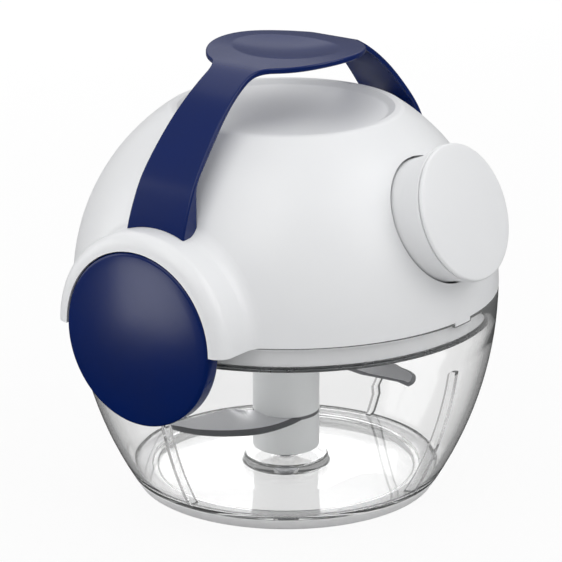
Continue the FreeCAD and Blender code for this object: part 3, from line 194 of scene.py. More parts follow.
def moulded_plastic(name, colour, worn_colour, roughness, peel_size, peel_depth, shine=0.5):
    """Glossy moulded plastic: orange peel of a size and depth in mm, and slightly uneven gloss."""
    material, tree, spot = start_material(name)
    peel = add_node(
        tree, "ShaderNodeTexNoise", {"Vector": spot, "Scale": 1 / peel_size, "Detail": 1.0}
    )
    handled = add_node(
        tree, "ShaderNodeTexNoise", {"Vector": spot, "Scale": 1 / HANDLED_SIZE, "Detail": 3.0}
    )
    uneven = add_node(tree, "ShaderNodeMapRange", {
        "Value": handled.outputs["Fac"], "To Min": roughness - 0.04, "To Max": roughness + 0.06,
    })
    tint = add_node(
        tree,
        "ShaderNodeMix",
        {"Factor": handled.outputs["Fac"], 6: linear(colour), 7: linear(worn_colour)},
        data_type="RGBA",
    )
    bump = add_node(
        tree,
        "ShaderNodeBump",
        {"Height": peel.outputs["Fac"], "Distance": peel_depth * MM, "Strength": 1.0},
    )
    finish_material(tree, {
        "Base Color": tint.outputs[2],
        "Roughness": uneven.outputs[0],
        "IOR": 1.53,
        "Specular IOR Level": shine,
        "Normal": bump.outputs[0],
    })
    return material


white_abs = moulded_plastic(
    "white_moulded_ABS", "E9EAEB", "E5E6E8", roughness=0.32, peel_size=3.0, peel_depth=0.010
)
navy_abs = moulded_plastic(
    "navy_moulded_ABS", "001C5A", "001950", roughness=0.21, peel_size=2.5, peel_depth=0.012,
    shine=0.32,
)
hub_abs = moulded_plastic(
    "pale_grey_moulded_ABS", "E8EAEA", "E3E5E6", roughness=0.34, peel_size=2.0, peel_depth=0.010
)
inner_abs = moulded_plastic(
    "inner_grey_moulded_ABS", "B9BBBC", "B0B2B4", roughness=0.45, peel_size=1.5, peel_depth=0.006,
    shine=0.4,
)
acetal = moulded_plastic(
    "cream_moulded_acetal", "DCD8CA", "D4D0C2", roughness=0.40, peel_size=1.5, peel_depth=0.004,
    shine=0.4,
)
print("plastics:", white_abs.name, navy_abs.name, hub_abs.name, inner_abs.name, acetal.name)

# %% [markdown]
# ## Clear bowl plastic
#
# The bowl is SAN, a clear hard plastic. It is a solid wall with an inner and an outer skin, so the
# light bends as it does in the real bowl. SAN has an index of refraction of about 1.57. Matched to
# the pale edges of this bowl, it came out lower, at 1.46. Washing leaves a faint haze of fine
# scuffs, which a noise brings into the roughness.
#
# Two things make the edges grey. The plastic takes up a little light on the way, which only shows
# where the way is long, as in the rim and at the sides. Light can also be caught in a thick rim and
# turn there again and again. A renderer stops after a few turns and shows black, so a ray that has
# turned more than three times meets a painted glow instead: the plastic glows a plain grey there.

# %% Clear plastic
SCUFF_SIZE = 9.0
DEPTH_DENSITY = 20.0
CAUGHT_TURNS = 3.5
# Grey that a caught ray glows with: a painted glow, not a lamp.
CAUGHT_PAINTED_GLOW = "525353"


def clear_plastic(name, colour, haze, index, depth_colour=None):
    """Clear plastic with a haze of scuffs, and a colour that its depth takes on."""
    material, tree, spot = start_material(name)
    scuffs = add_node(
        tree, "ShaderNodeTexNoise", {"Vector": spot, "Scale": 1 / SCUFF_SIZE, "Detail": 4.0}
    )
    scuffed = add_node(tree, "ShaderNodeMapRange", {
        "Value": scuffs.outputs["Fac"], "To Min": 0.0, "To Max": haze,
    })
    path = add_node(tree, "ShaderNodeLightPath")
    caught = add_node(
        tree,
        "ShaderNodeMath",
        {0: path.outputs["Glossy Depth"], 1: CAUGHT_TURNS},
        operation="GREATER_THAN",
    )
    # A caught ray meets a painted grey glow in place of the light it would bring.
    finish_material(tree, {
        "Base Color": linear(colour),
        "Roughness": scuffed.outputs[0],
        "IOR": index,
        "Transmission Weight": 1.0,
        "Emission Color": linear(CAUGHT_PAINTED_GLOW),
        "Emission Strength": caught.outputs[0],
    })
    if depth_colour:
        depth = add_node(tree, "ShaderNodeVolumeAbsorption", {
            "Color": linear(depth_colour), "Density": DEPTH_DENSITY,
        })
        tree.links.new(depth.outputs[0], tree.nodes["Material Output"].inputs["Volume"])
    return material


clear_san = clear_plastic(
    "clear_moulded_SAN", "FFFFFF", haze=0.03, index=1.46, depth_colour="A8A9A9"
)
silicone = clear_plastic("grey_moulded_silicone", "8E9092", haze=0.6, index=1.41)
print("clear plastics:", clear_san.name, silicone.name)

# %% [markdown]
# ## Ground steel
#
# The blades are stamped from stainless strip and then ground, which leaves fine parallel scratches.
# Real scratches are a few hundredths of a millimetre wide and wouldn't show at this distance, so
# they are drawn about a third of a millimetre wide. A stretched noise makes them: its scale is
# large across the scratch and small along it. The blades' bevels slant away from the light, so
# they get a painted shade: the colour follows how level a face lies and is darker on a slant.

# %% Steel
SLANTED_BELOW = 0.955
FLAT_ABOVE = 0.975


def ground_steel(name, colour, roughness, scratch_width, scratch_length, depth, bevel_painted_shade=None):
    """Steel with scratches along X, of a width and length in mm, and painted shade on slanted
    faces.
    """
    material, tree, spot = start_material(name)
    stretched = add_node(
        tree,
        "ShaderNodeMapping",
        {"Vector": spot, "Scale": (1 / scratch_length, 1 / scratch_width, 1 / scratch_width)},
    )
    scratches = add_node(tree, "ShaderNodeTexNoise", {"Vector": stretched.outputs[0], "Scale": 1.0})
    uneven = add_node(tree, "ShaderNodeMapRange", {
        "Value": scratches.outputs["Fac"], "To Min": roughness - 0.06, "To Max": roughness + 0.10,
    })
    bump = add_node(
        tree,
        "ShaderNodeBump",
        {"Height": scratches.outputs["Fac"], "Distance": depth * MM, "Strength": 1.0},
    )
    shaped = add_node(tree, "ShaderNodeNewGeometry")
    parts = add_node(tree, "ShaderNodeSeparateXYZ", {0: shaped.outputs["True Normal"]})
    level = add_node(tree, "ShaderNodeMath", {0: parts.outputs["Z"]}, operation="ABSOLUTE")
    flat = add_node(tree, "ShaderNodeMapRange", {
        "Value": level.outputs[0], "From Min": SLANTED_BELOW, "From Max": FLAT_ABOVE,
    })
    # Slanted faces take a painted shade colour, which stands for the light that misses them.
    tint = add_node(
        tree,
        "ShaderNodeMix",
        {"Factor": flat.outputs[0], 6: linear(bevel_painted_shade or colour), 7: linear(colour)},
        data_type="RGBA",
    )
    finish_material(tree, {
        "Base Color": tint.outputs[2],
        "Metallic": 1.0,
        "Roughness": uneven.outputs[0],
        "Normal": bump.outputs[0],
    })
    return material


# The blades' slanted bevels get a painted dark grey shade.
blade_steel = ground_steel(
    "ground_stainless_steel", "F0F0F2", roughness=0.42, scratch_width=0.35, scratch_length=12.0,
    depth=0.004, bevel_painted_shade="7A7B7E",
)
screw_steel = ground_steel(
    "zinc_plated_steel", "B0B1B4", roughness=0.30, scratch_width=0.2, scratch_length=0.8,
    depth=0.003,
)
spring_steel = ground_steel(
    "blued_spring_steel", "7C8088", roughness=0.32, scratch_width=0.3, scratch_length=3.0,
    depth=0.003,
)
print("metals:", blade_steel.name, screw_steel.name, spring_steel.name)

# %% [markdown]
# ## Rubber foot and braided cord
#
# The foot is a thermoplastic rubber with a dry, even grain from its etched mould. The cord is
# braided polyester: its strands cross at a slant, so two sets of bands that wind opposite ways are
# multiplied. On the wound cord the bands follow the piece's own UV map, with U along the cord and V
# round it. The pull cord is straight where it shows, so its bands follow the spot along and around
# the pull axis.

# %% Rubber and cord
STRANDS = 6
STRAND_PITCH = 6.0
STRAND_HEIGHT = 0.15
WOUND_LENGTH = 300.0


def soft_rubber(name, colour, grain_size, grain_depth):
    """Dull rubber with a grain of a size and depth in mm."""
    material, tree, spot = start_material(name)
    grain = add_node(
        tree, "ShaderNodeTexNoise", {"Vector": spot, "Scale": 1 / grain_size, "Detail": 2.0}
    )
    dull = add_node(tree, "ShaderNodeMapRange", {
        "Value": grain.outputs["Fac"], "To Min": 0.55, "To Max": 0.75,
    })
    bump = add_node(
        tree,
        "ShaderNodeBump",
        {"Height": grain.outputs["Fac"], "Distance": grain_depth * MM, "Strength": 1.0},
    )
    finish_material(tree, {
        "Base Color": linear(colour),
        "Roughness": dull.outputs[0],
        "Sheen Weight": 0.1,
        "Normal": bump.outputs[0],
    })
    return material


def braided_cord(name, light, dark, strands, pitch, wound_length=None):
    """Braid with strands that climb one pitch in mm per turn. A wound cord's length is in mm."""
    material, tree, spot = start_material(name)
    if wound_length:
        uv = add_node(tree, "ShaderNodeUVMap", uv_map="UVMap")
        parts = add_node(tree, "ShaderNodeSeparateXYZ", {0: uv.outputs[0]})
        along = add_node(
            tree, "ShaderNodeMath", {0: parts.outputs["X"], 1: wound_length}, operation="MULTIPLY"
        ).outputs[0]
        around = parts.outputs["Y"]
    else:
        from_start = add_node(
            tree, "ShaderNodeVectorMath", {0: spot, 1: PULL_START / MM}, operation="SUBTRACT"
        ).outputs[0]
        reach = []
        for direction in (PULL, ACROSS, PULL.cross(ACROSS)):
            reach.append(add_node(
                tree, "ShaderNodeVectorMath", {0: from_start, 1: direction}, operation="DOT_PRODUCT"
            ).outputs["Value"])
        along = reach[0]
        angle = add_node(
            tree, "ShaderNodeMath", {0: reach[1], 1: reach[2]}, operation="ARCTAN2"
        ).outputs[0]
        around = add_node(
            tree, "ShaderNodeMath", {0: angle, 1: 1 / (2 * math.pi)}, operation="MULTIPLY"
        ).outputs[0]
    bands = []
    for side in (1, -1):
        slant = add_node(
            tree, "ShaderNodeMath", {0: along, 1: side / pitch, 2: around}, operation="MULTIPLY_ADD"
        )
        turn = add_node(
            tree,
            "ShaderNodeMath",
            {0: slant.outputs[0], 1: strands * math.pi},
            operation="MULTIPLY",
        )
        wave = add_node(tree, "ShaderNodeMath", {0: turn.outputs[0]}, operation="SINE")
        bands.append(add_node(tree, "ShaderNodeMath", {0: wave.outputs[0]}, operation="ABSOLUTE"))
    weave = add_node(
        tree,
        "ShaderNodeMath",
        {0: bands[0].outputs[0], 1: bands[1].outputs[0]},
        operation="MULTIPLY",
    )
    tint = add_node(
        tree,
        "ShaderNodeMix",
        {"Factor": weave.outputs[0], 6: linear(dark), 7: linear(light)},
        data_type="RGBA",
    )
    bump = add_node(
        tree,
        "ShaderNodeBump",
        {"Height": weave.outputs[0], "Distance": STRAND_HEIGHT * MM, "Strength": 1.0},
    )
    finish_material(tree, {
        "Base Color": tint.outputs[2],
        "Roughness": 0.8,
        "Sheen Weight": 0.25,
        "Normal": bump.outputs[0],
    })
    return material


foot_rubber = soft_rubber("grey_thermoplastic_rubber", "F0F0F1", grain_size=0.4, grain_depth=0.02)
white_braid = braided_cord("white_braided_polyester", "E8E8E4", "A9A9A4", STRANDS, STRAND_PITCH)
wound_braid = braided_cord(
    "wound_braided_polyester", "E8E8E4", "A9A9A4", STRANDS, STRAND_PITCH, WOUND_LENGTH
)
print("soft finishes:", foot_rubber.name, white_braid.name, wound_braid.name)

# %% [markdown]
# ## Tools for turned and cut pieces
#
# Most moulded parts of a kitchen tool are round, so they can be drawn like a potter's profile: half
# of the outline, spun about an axis. The outline starts as a single vertex that is extruded from
# point to point. A corner with a third value is softened by an arc of that radius, because a real
# mould has no knife-sharp edges and a soft edge is what catches the light.

# %% Outline, spin and plate
UP = Vector((0, 0, 1))
OUT = Vector((1, 0, 0))
CENTRE = Vector((0, 0, 0))
SAME_PLACE = 0.002 * MM
SMOOTH_BELOW = math.radians(32)


def rounded(corners, steps=6):
    """Outline points in metres from corners in mm: (across, along) or (across, along, radius)."""
    points = []
    for index, corner in enumerate(corners):
        here = Vector(corner[:2])
        if len(corner) == 2:
            points.append(here * MM)
            continue
        before = (Vector(corners[index - 1][:2]) - here).normalized()
        after = (Vector(corners[(index + 1) % len(corners)][:2]) - here).normalized()
        half = before.angle(after) / 2
        radius = corner[2]
        middle = here + (before + after).normalized() * (radius / math.sin(half))
        first = here + before * (radius / math.tan(half)) - middle
        start = math.atan2(first.y, first.x)
        sweep = math.copysign(math.pi - 2 * half, -before.cross(after))
        for step in range(steps + 1):
            angle = start + sweep * step / steps
            points.append((middle + Vector((math.cos(angle), math.sin(angle))) * radius) * MM)
    return points


def draw(name, points):
    """A new mesh: one vertex, extruded from point to point. Edit mode stays on."""
    bpy.ops.object.select_all(action="DESELECT")
    bpy.ops.mesh.primitive_plane_add(size=MM, location=CENTRE)
    piece = bpy.context.object
    piece.name = name
    bpy.ops.object.mode_set(mode="EDIT")
    bpy.ops.mesh.merge(type="CENTER")
    bpy.ops.transform.translate(value=points[0])
    for here, there in zip(points, points[1:]):
        bpy.ops.mesh.extrude_vertices_move(TRANSFORM_OT_translate={"value": there - here})
    bpy.ops.mesh.select_all(action="SELECT")
    return piece


def close_up():
    """Merges doubles, turns all faces outwards and leaves edit mode."""
    bpy.ops.mesh.select_all(action="SELECT")
    bpy.ops.mesh.remove_doubles(threshold=SAME_PLACE)
    bpy.ops.mesh.normals_make_consistent(inside=False)
    bpy.ops.object.mode_set(mode="OBJECT")
    bpy.ops.object.shade_smooth_by_angle(angle=SMOOTH_BELOW)


def spun(name, outline, steps=96, origin=CENTRE, axis=UP, side=OUT):
    """Solid of revolution. An outline that misses the axis is closed into a ring."""
    points = [origin + side * across + axis * along for across, along in outline]
    if outline[0].x > SAME_PLACE:
        points.append(points[0])
    piece = draw(name, points)
    bpy.ops.mesh.spin(steps=steps, angle=2 * math.pi, center=origin, axis=axis)
    close_up()
    return piece


def plate(name, points, through):
    """Flat plate with this outline, as thick and in the direction that through says."""
    piece = draw(name, points + points[:1])
    bpy.ops.mesh.remove_doubles(threshold=SAME_PLACE)
    bpy.ops.mesh.edge_face_add()
    bpy.ops.mesh.extrude_region_move(TRANSFORM_OT_translate={"value": through})
    close_up()
    return piece


square_corner = rounded([(0, 0), (1, 0, 0.2), (1, 1)])
print("a rounded corner is drawn with", len(square_corner) - 2, "points")

# %% [markdown]
# Unions and cuts are Boolean modifiers that are applied at once, so that every piece ends as a
# plain mesh. A finished piece then gets its material and the body that it moves with, and the
# construction pieces that it stands for are hidden.

# %% Combine, wear and place
def apply_modifier(piece, kind, **settings):
    """Adds one modifier to a piece and applies it."""
    step = piece.modifiers.new(kind.lower(), kind)
    for name, value in settings.items():
        setattr(step, name, value)
    bpy.context.view_layer.objects.active = piece
    bpy.ops.object.modifier_apply(modifier=step.name)


def combine(piece, tool, operation):
    """Joins the tool to a piece or cuts it away, and removes the tool."""
    apply_modifier(piece, "BOOLEAN", operation=operation, solver="EXACT", object=tool)
    bpy.data.objects.remove(tool)
    bpy.ops.object.select_all(action="DESELECT")
    piece.select_set(True)
    bpy.ops.object.shade_smooth_by_angle(angle=SMOOTH_BELOW)


def wear(piece, material):
    """Gives a whole piece one material."""
    piece.data.materials.clear()
    piece.data.materials.append(material)


def place(piece, material, body, slot, *replaced):
    """Gives a finished piece its material and its body, and hides the construction that it stands
    for.
    """
    wear(piece, material)
    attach(piece, body)
    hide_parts(*replaced)
    print(piece.name, "has", len(piece.data.polygons), "faces")


print("helpers ready:", combine.__name__, wear.__name__, place.__name__)

# %% [markdown]
# ## The bowl
#
# The bowl is one clear moulding with a thick floor, a raised plinth for the blades' pivot, four
# ribs that throw the food back, and a lug at each side for the locks. Its wall is a real wall with
# an inner and an outer skin, because clear plastic shows every thickness. It could be a sphere that
# is pressed into shape, but a spun profile gives the exact arc of the side and a clean rim. The rim
# stops a little below the lid's edge and is rounded, which leaves the fine dark joint line that
# runs round the real product.

# %% Clear bowl
RIM_RADIUS = 75.15
SIDE_ARC = 134.7
WALL = 2.0
RIM_JOINT = 0.45
LAND_RADIUS = 73.05
LAND_LOW = 62.7
LAND_FADE = 5.0
UNDERSIDE = 3.05
FOOT_REBATE = 46.7
FOOT_LIP = 48.7
FOOT_LIP_LOW = 1.0
FOOT_TOP = 4.5
FLOOR = 5.55
FLOOR_RADIUS = 43.4
CORNER_RISE = 0.7
CORNER_REACH = 4.0
PLINTH_RADIUS = 15.0
PLINTH_TOP = 8.5
BOSS_RADIUS = 5.0
BOSS_TOP = 12.6
BORE_RADIUS = 3.03
BORE_LOW = 4.05
SIDE_STEPS = 16


def side_radius(height, inset=0.0):
    """Radius of the bowl's bowed side at a height, all in mm, moved in by an inset."""
    reach = SIDE_ARC - inset
    return RIM_RADIUS - SIDE_ARC + math.sqrt(reach**2 - (height - RIM_HEIGHT) ** 2)


def side_line(low, high, inset=0.0):
    """Corners along the bowed side from one height to another."""
    heights = [low + (high - low) * step / SIDE_STEPS for step in range(SIDE_STEPS + 1)]
    return [(side_radius(height, inset), height) for height in heights]


rim = RIM_HEIGHT - RIM_JOINT
corner = FLOOR + CORNER_RISE
bowl_outline = rounded(
    [(0, UNDERSIDE), (FOOT_REBATE, UNDERSIDE, 0.3), (FOOT_REBATE, FOOT_LIP_LOW, 0.3)]
    + [(FOOT_LIP, FOOT_LIP_LOW, 0.3), (FOOT_LIP, FOOT_TOP)]
    + side_line(FOOT_TOP, rim)[:-1]
    + [(side_radius(rim), rim, 0.6), (LAND_RADIUS, rim, 0.5), (LAND_RADIUS, LAND_LOW)]
    + side_line(LAND_LOW - LAND_FADE, corner + CORNER_REACH, WALL)
    + [(side_radius(corner, WALL), corner, 3.0), (FLOOR_RADIUS, FLOOR)]
    + [(PLINTH_RADIUS + 0.6, FLOOR, 0.6), (PLINTH_RADIUS, PLINTH_TOP, 1.2)]
    + [(BOSS_RADIUS + 0.4, PLINTH_TOP, 0.4), (BOSS_RADIUS, BOSS_TOP, 0.4)]
    + [(BORE_RADIUS, BOSS_TOP), (BORE_RADIUS, BORE_LOW), (0, BORE_LOW)]
)
bowl = spun("clear_bowl", bowl_outline, steps=144)
print("bowl outline has", len(bowl_outline), "points")

# %% [markdown]
# The ribs and lugs are joined to the bowl and the notch is cut from it, so that it stays one
# moulding. A rib bites a little into the wall and floor, because a union needs a real overlap. The
# notch in the rim takes the lid's key. A clear wall hardly dims the light, so the bowl casts no
# shadow.

# %% Ribs, lugs and notch
RIB_TOP = 54.2
RIB_REACH = 2.6
RIB_BITE = 0.8
RIB_SINK = 0.5
RIB_CORNER = 2.2
RIB_THICKNESS = 2.0
LUG_RADIUS = 2.75
LUG_ROOT = 72.8
LUG_END = 80.05
LUG_DROP = 14.4
NOTCH_HALF = 4.85
NOTCH_FRONT = -76.2
NOTCH_DEPTH = 5.2
NOTCH_LOW = 71.9
NOTCH_HIGH = 75.0


def bowl_rib(heading):
    """Upright rib inside the wall at a heading in degrees, with its soft outer end at the top."""
    out = Matrix.Rotation(math.radians(heading), 3, "Z") @ OUT
    edge = side_line(FLOOR - RIB_SINK, RIB_TOP - 2.1, WALL + RIB_REACH)
    root = side_line(FLOOR - RIB_SINK, RIB_TOP + 0.5, WALL - RIB_BITE)
    top = (side_radius(RIB_TOP, WALL + RIB_REACH), RIB_TOP, RIB_CORNER)
    outline = rounded(edge[:-1] + [top] + root[::-1])
    across = UP.cross(out) * mm(RIB_THICKNESS)
    points = [out * reach + UP * height - across / 2 for reach, height in outline]
    return plate("rib", points, across)


def lock_lug(side):
    """Stub on the bowl's side, which the turn lock catches."""
    outline = rounded([
        (0, LUG_ROOT), (LUG_RADIUS, LUG_ROOT), (LUG_RADIUS, LUG_END, 0.5), (0, LUG_END),
    ])
    return spun("lug", outline, 32, Vector((0, 0, PARTING - mm(LUG_DROP))), OUT * side, UP)


for heading in (0, 90, 180, 270):
    combine(bowl, bowl_rib(heading), "UNION")
for side in (1, -1):
    combine(bowl, lock_lug(side), "UNION")
notch = [
    mm(-NOTCH_HALF, NOTCH_FRONT, NOTCH_LOW), mm(NOTCH_HALF, NOTCH_FRONT, NOTCH_LOW),
    mm(NOTCH_HALF, NOTCH_FRONT, NOTCH_HIGH), mm(-NOTCH_HALF, NOTCH_FRONT, NOTCH_HIGH),
]
combine(bowl, plate("notch", notch, mm(0, NOTCH_DEPTH, 0)), "DIFFERENCE")
place(bowl, clear_san, "bowl", "clear_plastic", "bowl")
bowl.visible_shadow = False

# %% [markdown]
# ## The foot
#
# A soft ring is pressed over the bowl's lower edge so that the chopper doesn't slip when it is
# pulled. Its outside carries on the bowl's arc, and its lower edge is well rounded.

# %% Foot ring
FOOT_INSIDE = 48.8
FOOT_BULGE = 2.2
foot_top = FOOT_TOP - 0.05
foot_outline = rounded([
    (FOOT_INSIDE, 0.0, 0.4), (side_radius(0), 0.0, 1.0), (side_radius(FOOT_BULGE), FOOT_BULGE),
    (side_radius(FOOT_TOP), foot_top, 0.35), (FOOT_INSIDE, foot_top),
])
foot = spun("soft_foot_ring", foot_outline, steps=144)
place(foot, foot_rubber, "bowl", "grey_rubber", "foot_ring")

# %% [markdown]
# ## The seal
#
# A lip of silicone sits in a rebate at the bottom of the lid's skirt and wipes the bowl's inner
# land. It has two thin fins, so it bends instead of jamming. Through the bowl it shows as the grey
# line under the skirt.

# %% Seal
SEAL_INSIDE = 71.2
SEAL_GROOVE = 72.0
SEAL_OUTSIDE = 72.9
SEAL_LOW = 64.7
SEAL_HIGH = 66.5
seal_outline = rounded([
    (SEAL_INSIDE, SEAL_LOW, 0.15), (SEAL_OUTSIDE, SEAL_LOW, 0.3),
    (SEAL_OUTSIDE, SEAL_LOW + 0.55, 0.15), (SEAL_GROOVE, SEAL_LOW + 0.75, 0.15),
    (SEAL_GROOVE, SEAL_HIGH - 0.7, 0.15), (SEAL_OUTSIDE, SEAL_HIGH - 0.5, 0.15),
    (SEAL_OUTSIDE, SEAL_HIGH, 0.3), (SEAL_INSIDE, SEAL_HIGH, 0.15),
], 3)
seal = spun("finned_seal", seal_outline, steps=144)
place(seal, silicone, "lid", "clear_silicone", "seal_ring")

# %% [markdown]
# ## The pull knob
#
# The knob is a flared cup that is closed by a slightly crowned cap. The cap is pressed in after the
# cord is tied, so a fine seam runs round the rim, and both its edges are broken. Both pieces are
# spun about the pull axis, which leans up from the level. A post inside the cup takes the cord's
# end.

# %% Knob body
KNOB_BACK = 64.7
KNOB_FLARE = 74.2
KNOB_FACE = 82.7
NECK_RADIUS = 21.8
FACE_RADIUS = 23.85
KNOB_WALL = 2.0
CORD_HOLE = 1.2
POST_RADIUS = 5.0
POST_END = 76.5
knob_floor = KNOB_BACK + KNOB_WALL
body_outline = rounded([
    (CORD_HOLE, KNOB_BACK, 0.2), (NECK_RADIUS, KNOB_BACK, 0.8), (NECK_RADIUS, KNOB_FLARE, 12.0),
    (FACE_RADIUS, KNOB_FACE, 0.45), (FACE_RADIUS - KNOB_WALL, KNOB_FACE),
    (NECK_RADIUS - KNOB_WALL, KNOB_FLARE), (NECK_RADIUS - KNOB_WALL, knob_floor, 0.8),
    (POST_RADIUS, knob_floor, 0.5), (POST_RADIUS, POST_END, 0.3), (CORD_HOLE, POST_END),
], 8)
knob_body = spun("flared_knob_body", body_outline, 128, PULL_START, PULL, ACROSS)
place(knob_body, white_abs, "knob", "white_plastic", "knob_body")

# %% [markdown]
# The cap's face is a very shallow dome. Its height over each radius comes from the large ball that
# the dome is a part of. A collar under the cap holds it in the cup.

# %% Knob cap
SEAM = 0.3
CAP_RADIUS = FACE_RADIUS - 0.2
CAP_SHOULDER = KNOB_FACE + 1.6
CAP_CROWN = 1.6
COLLAR_INSIDE = 19.75
COLLAR_OUTSIDE = 21.25
COLLAR_LOW = 80.7


def crown(radius, top, rise, steps=10):
    """Corners of a shallow dome from its rim to its middle."""
    ball = (radius**2 + rise**2) / (2 * rise)
    reaches = [radius * step / steps for step in range(steps, -1, -1)]
    return [(reach, top - ball + math.sqrt(ball**2 - reach**2)) for reach in reaches]


cap_face = crown(CAP_RADIUS, CAP_SHOULDER + CAP_CROWN, CAP_CROWN)
cap_outline = rounded(
    [(0, KNOB_FACE), (COLLAR_INSIDE, KNOB_FACE), (COLLAR_INSIDE, COLLAR_LOW, 0.3)]
    + [(COLLAR_OUTSIDE, COLLAR_LOW, 0.3), (COLLAR_OUTSIDE, KNOB_FACE + SEAM)]
    + [(CAP_RADIUS, KNOB_FACE + SEAM, 0.35), (*cap_face[0], 1.0)]
    + cap_face[1:],
    8,
)
knob_cap = spun("crowned_knob_cap", cap_outline, 128, PULL_START, PULL, ACROSS)
place(knob_cap, white_abs, "knob", "white_plastic", "knob_cap")

# %% [markdown]
# ## The turn locks
#
# Each lock has a large round cover that a hand can turn. It is a shallow cup with a crowned face,
# so a soft light slides over it as a gradient instead of filling it evenly. A slot in its lower
# wall lets the bowl's lug in. One function makes both, because the locks mirror each other.

# %% Lock covers
LOCK_RADIUS = 30.1
LOCK_BACK = 77.35
LOCK_INSIDE = 81.55
LOCK_FACE = 83.3
LOCK_CROWN = 1.2
LOCK_CUP = 28.25
SEAT_RADIUS = 6.6
SEAT_FACE = 82.9
MOUTH_HALF = 3.1
MOUTH_LOW = RIM_HEIGHT - 32.0
MOUTH_HIGH = RIM_HEIGHT - LUG_DROP
MOUTH_BACK = LOCK_BACK - 1.0
MOUTH_REACH = 4.0


def lock_cover(name, side):
    """Crowned cover of one lock, on the side of X that the sign gives."""
    face = crown(LOCK_RADIUS, LOCK_FACE + LOCK_CROWN, LOCK_CROWN, 14)
    outline = rounded(
        [(0, SEAT_FACE), (SEAT_RADIUS, SEAT_FACE), (SEAT_RADIUS, LOCK_INSIDE)]
        + [(LOCK_CUP, LOCK_INSIDE), (LOCK_CUP, LOCK_BACK, 0.2)]
        + [(LOCK_RADIUS, LOCK_BACK, 0.4), (*face[0], 1.3)]
        + face[2:],
        8,
    )
    cover = spun(name, outline, 144, Vector((0, 0, PARTING)), OUT * side, UP)
    back = side * MOUTH_BACK
    mouth = [
        mm(back, -MOUTH_HALF, MOUTH_LOW), mm(back, MOUTH_HALF, MOUTH_LOW),
        mm(back, MOUTH_HALF, MOUTH_HIGH), mm(back, -MOUTH_HALF, MOUTH_HIGH),
    ]
    combine(cover, plate("mouth", mouth, mm(side * MOUTH_REACH, 0, 0)), "DIFFERENCE")
    return cover


for side, name, body, node in (
    (-1, "crowned_lock_cover_left", "left_lock", "lock_cap_left"),
    (1, "crowned_lock_cover_right", "right_lock", "lock_cap_right"),
):
    place(lock_cover(name, side), navy_abs, body, "navy_plastic", node)

# %% [markdown]
# ## The pull cord
#
# The cord leaves the reel, turns through the eyelet and ends in the ferrule inside the knob. When
# the knob is pulled, the straight part between the eyelet and the knob grows, as more cord comes
# off the reel. The braid is drawn from the place in space, not from the tube's own map, so its
# strands keep their size however far the cord is out.

# %% Cord from the reel to the knob
CORD_RADIUS = 0.9
REEL_SIDE = (-17.03, -5.83)
REEL_SHARES = (0, 0.4, 0.82)
BEFORE_EYELET = 61.2
EYELET = 62.4
KNOB_ENTRY = 64.9
IN_KNOB = (70.0, 75.0)
CORD_END = 79.9
STRETCH_STEPS = 6


def on_pull(distance):
    """Point on the pull axis at a distance in mm."""
    return PULL_START + PULL * mm(distance)


def cord_tube(name, points, radius, sides=4):
    """Tube of a radius in mm along a smooth curve through points in metres, as a mesh."""
    data = bpy.data.curves.new(name, "CURVE")
    data.dimensions = "3D"
    data.bevel_depth = radius * MM
    data.bevel_resolution = sides
    data.use_fill_caps = True
    spline = data.splines.new("NURBS")
    spline.points.add(len(points) - 1)
    for control, point in zip(spline.points, points):
        control.co = (*point, 1)
    spline.order_u = 3
    spline.use_endpoint_u = True
    spline.resolution_u = 4
    tube = bpy.data.objects.new(name, data)
    bpy.context.scene.collection.objects.link(tube)
    bpy.ops.object.select_all(action="DESELECT")
    tube.select_set(True)
    bpy.context.view_layer.objects.active = tube
    bpy.ops.object.convert(target="MESH")
    tube = bpy.context.object
    bpy.ops.object.mode_set(mode="EDIT")
    close_up()
    return tube


eyelet_centre = on_pull(EYELET)
reel_side = Vector((*[mm(value) for value in REEL_SIDE], eyelet_centre.z))
toward_eyelet = eyelet_centre - reel_side
cord_points = [reel_side + toward_eyelet * share for share in REEL_SHARES]
cord_points.append(on_pull(BEFORE_EYELET))
for step in range(STRETCH_STEPS + 1):
    cord_points.append(on_pull(EYELET + (KNOB_ENTRY - EYELET) * step / STRETCH_STEPS))
cord_points += [on_pull(distance) for distance in (*IN_KNOB, CORD_END)]
cord = cord_tube("braided_pull_cord", cord_points, CORD_RADIUS)
wear(cord, white_braid)
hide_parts("pull_cord")
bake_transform(cord)
print("pull cord has", len(cord.data.polygons), "faces")

# %% [markdown]
# ## The winding on the reel
#
# With the knob home, the rest of the cord lies on the reel. The outer layer is real turns of one
# long helix, and the layers under it are a plain core, because nothing of them shows.

# %% Winding
WINDING_RADIUS = 16.8
WINDING_TURNS = 3
STEPS_A_TURN = 24
TURN_GAP = 0.02
CORE_BORE = 11.1
CORE_RADIUS = 15.2
reel_low, reel_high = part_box("cord_winding")
turn_rise = (reel_high.z - reel_low.z - mm(2 * CORD_RADIUS)) / WINDING_TURNS
turn_radius = mm(WINDING_RADIUS - CORD_RADIUS)
winding_points = []
for step in range(WINDING_TURNS * STEPS_A_TURN + 1):
    angle = 2 * math.pi * step / STEPS_A_TURN
    height = reel_low.z + mm(CORD_RADIUS) + turn_rise * step / STEPS_A_TURN
    winding_points.append((turn_radius * math.cos(angle), turn_radius * math.sin(angle), height))
winding = cord_tube("wound_cord", winding_points, CORD_RADIUS - TURN_GAP)
core_low = reel_low.z / MM
core_high = reel_high.z / MM
core_outline = rounded([
    (CORE_BORE, core_low), (CORE_RADIUS, core_low, 0.6),
    (CORE_RADIUS, core_high, 0.6), (CORE_BORE, core_high),
], 3)
core = spun("wound_core", core_outline, 64)
place(winding, wound_braid, "reel", "white_cord", "cord_winding")
place(core, wound_braid, "reel", "white_cord", "cord_winding")

# %% [markdown]
# ## Dress the construction
#
# Most of the construction already has its right shape, so those pieces stay and only take their
# finish. One table says which finish each piece has.

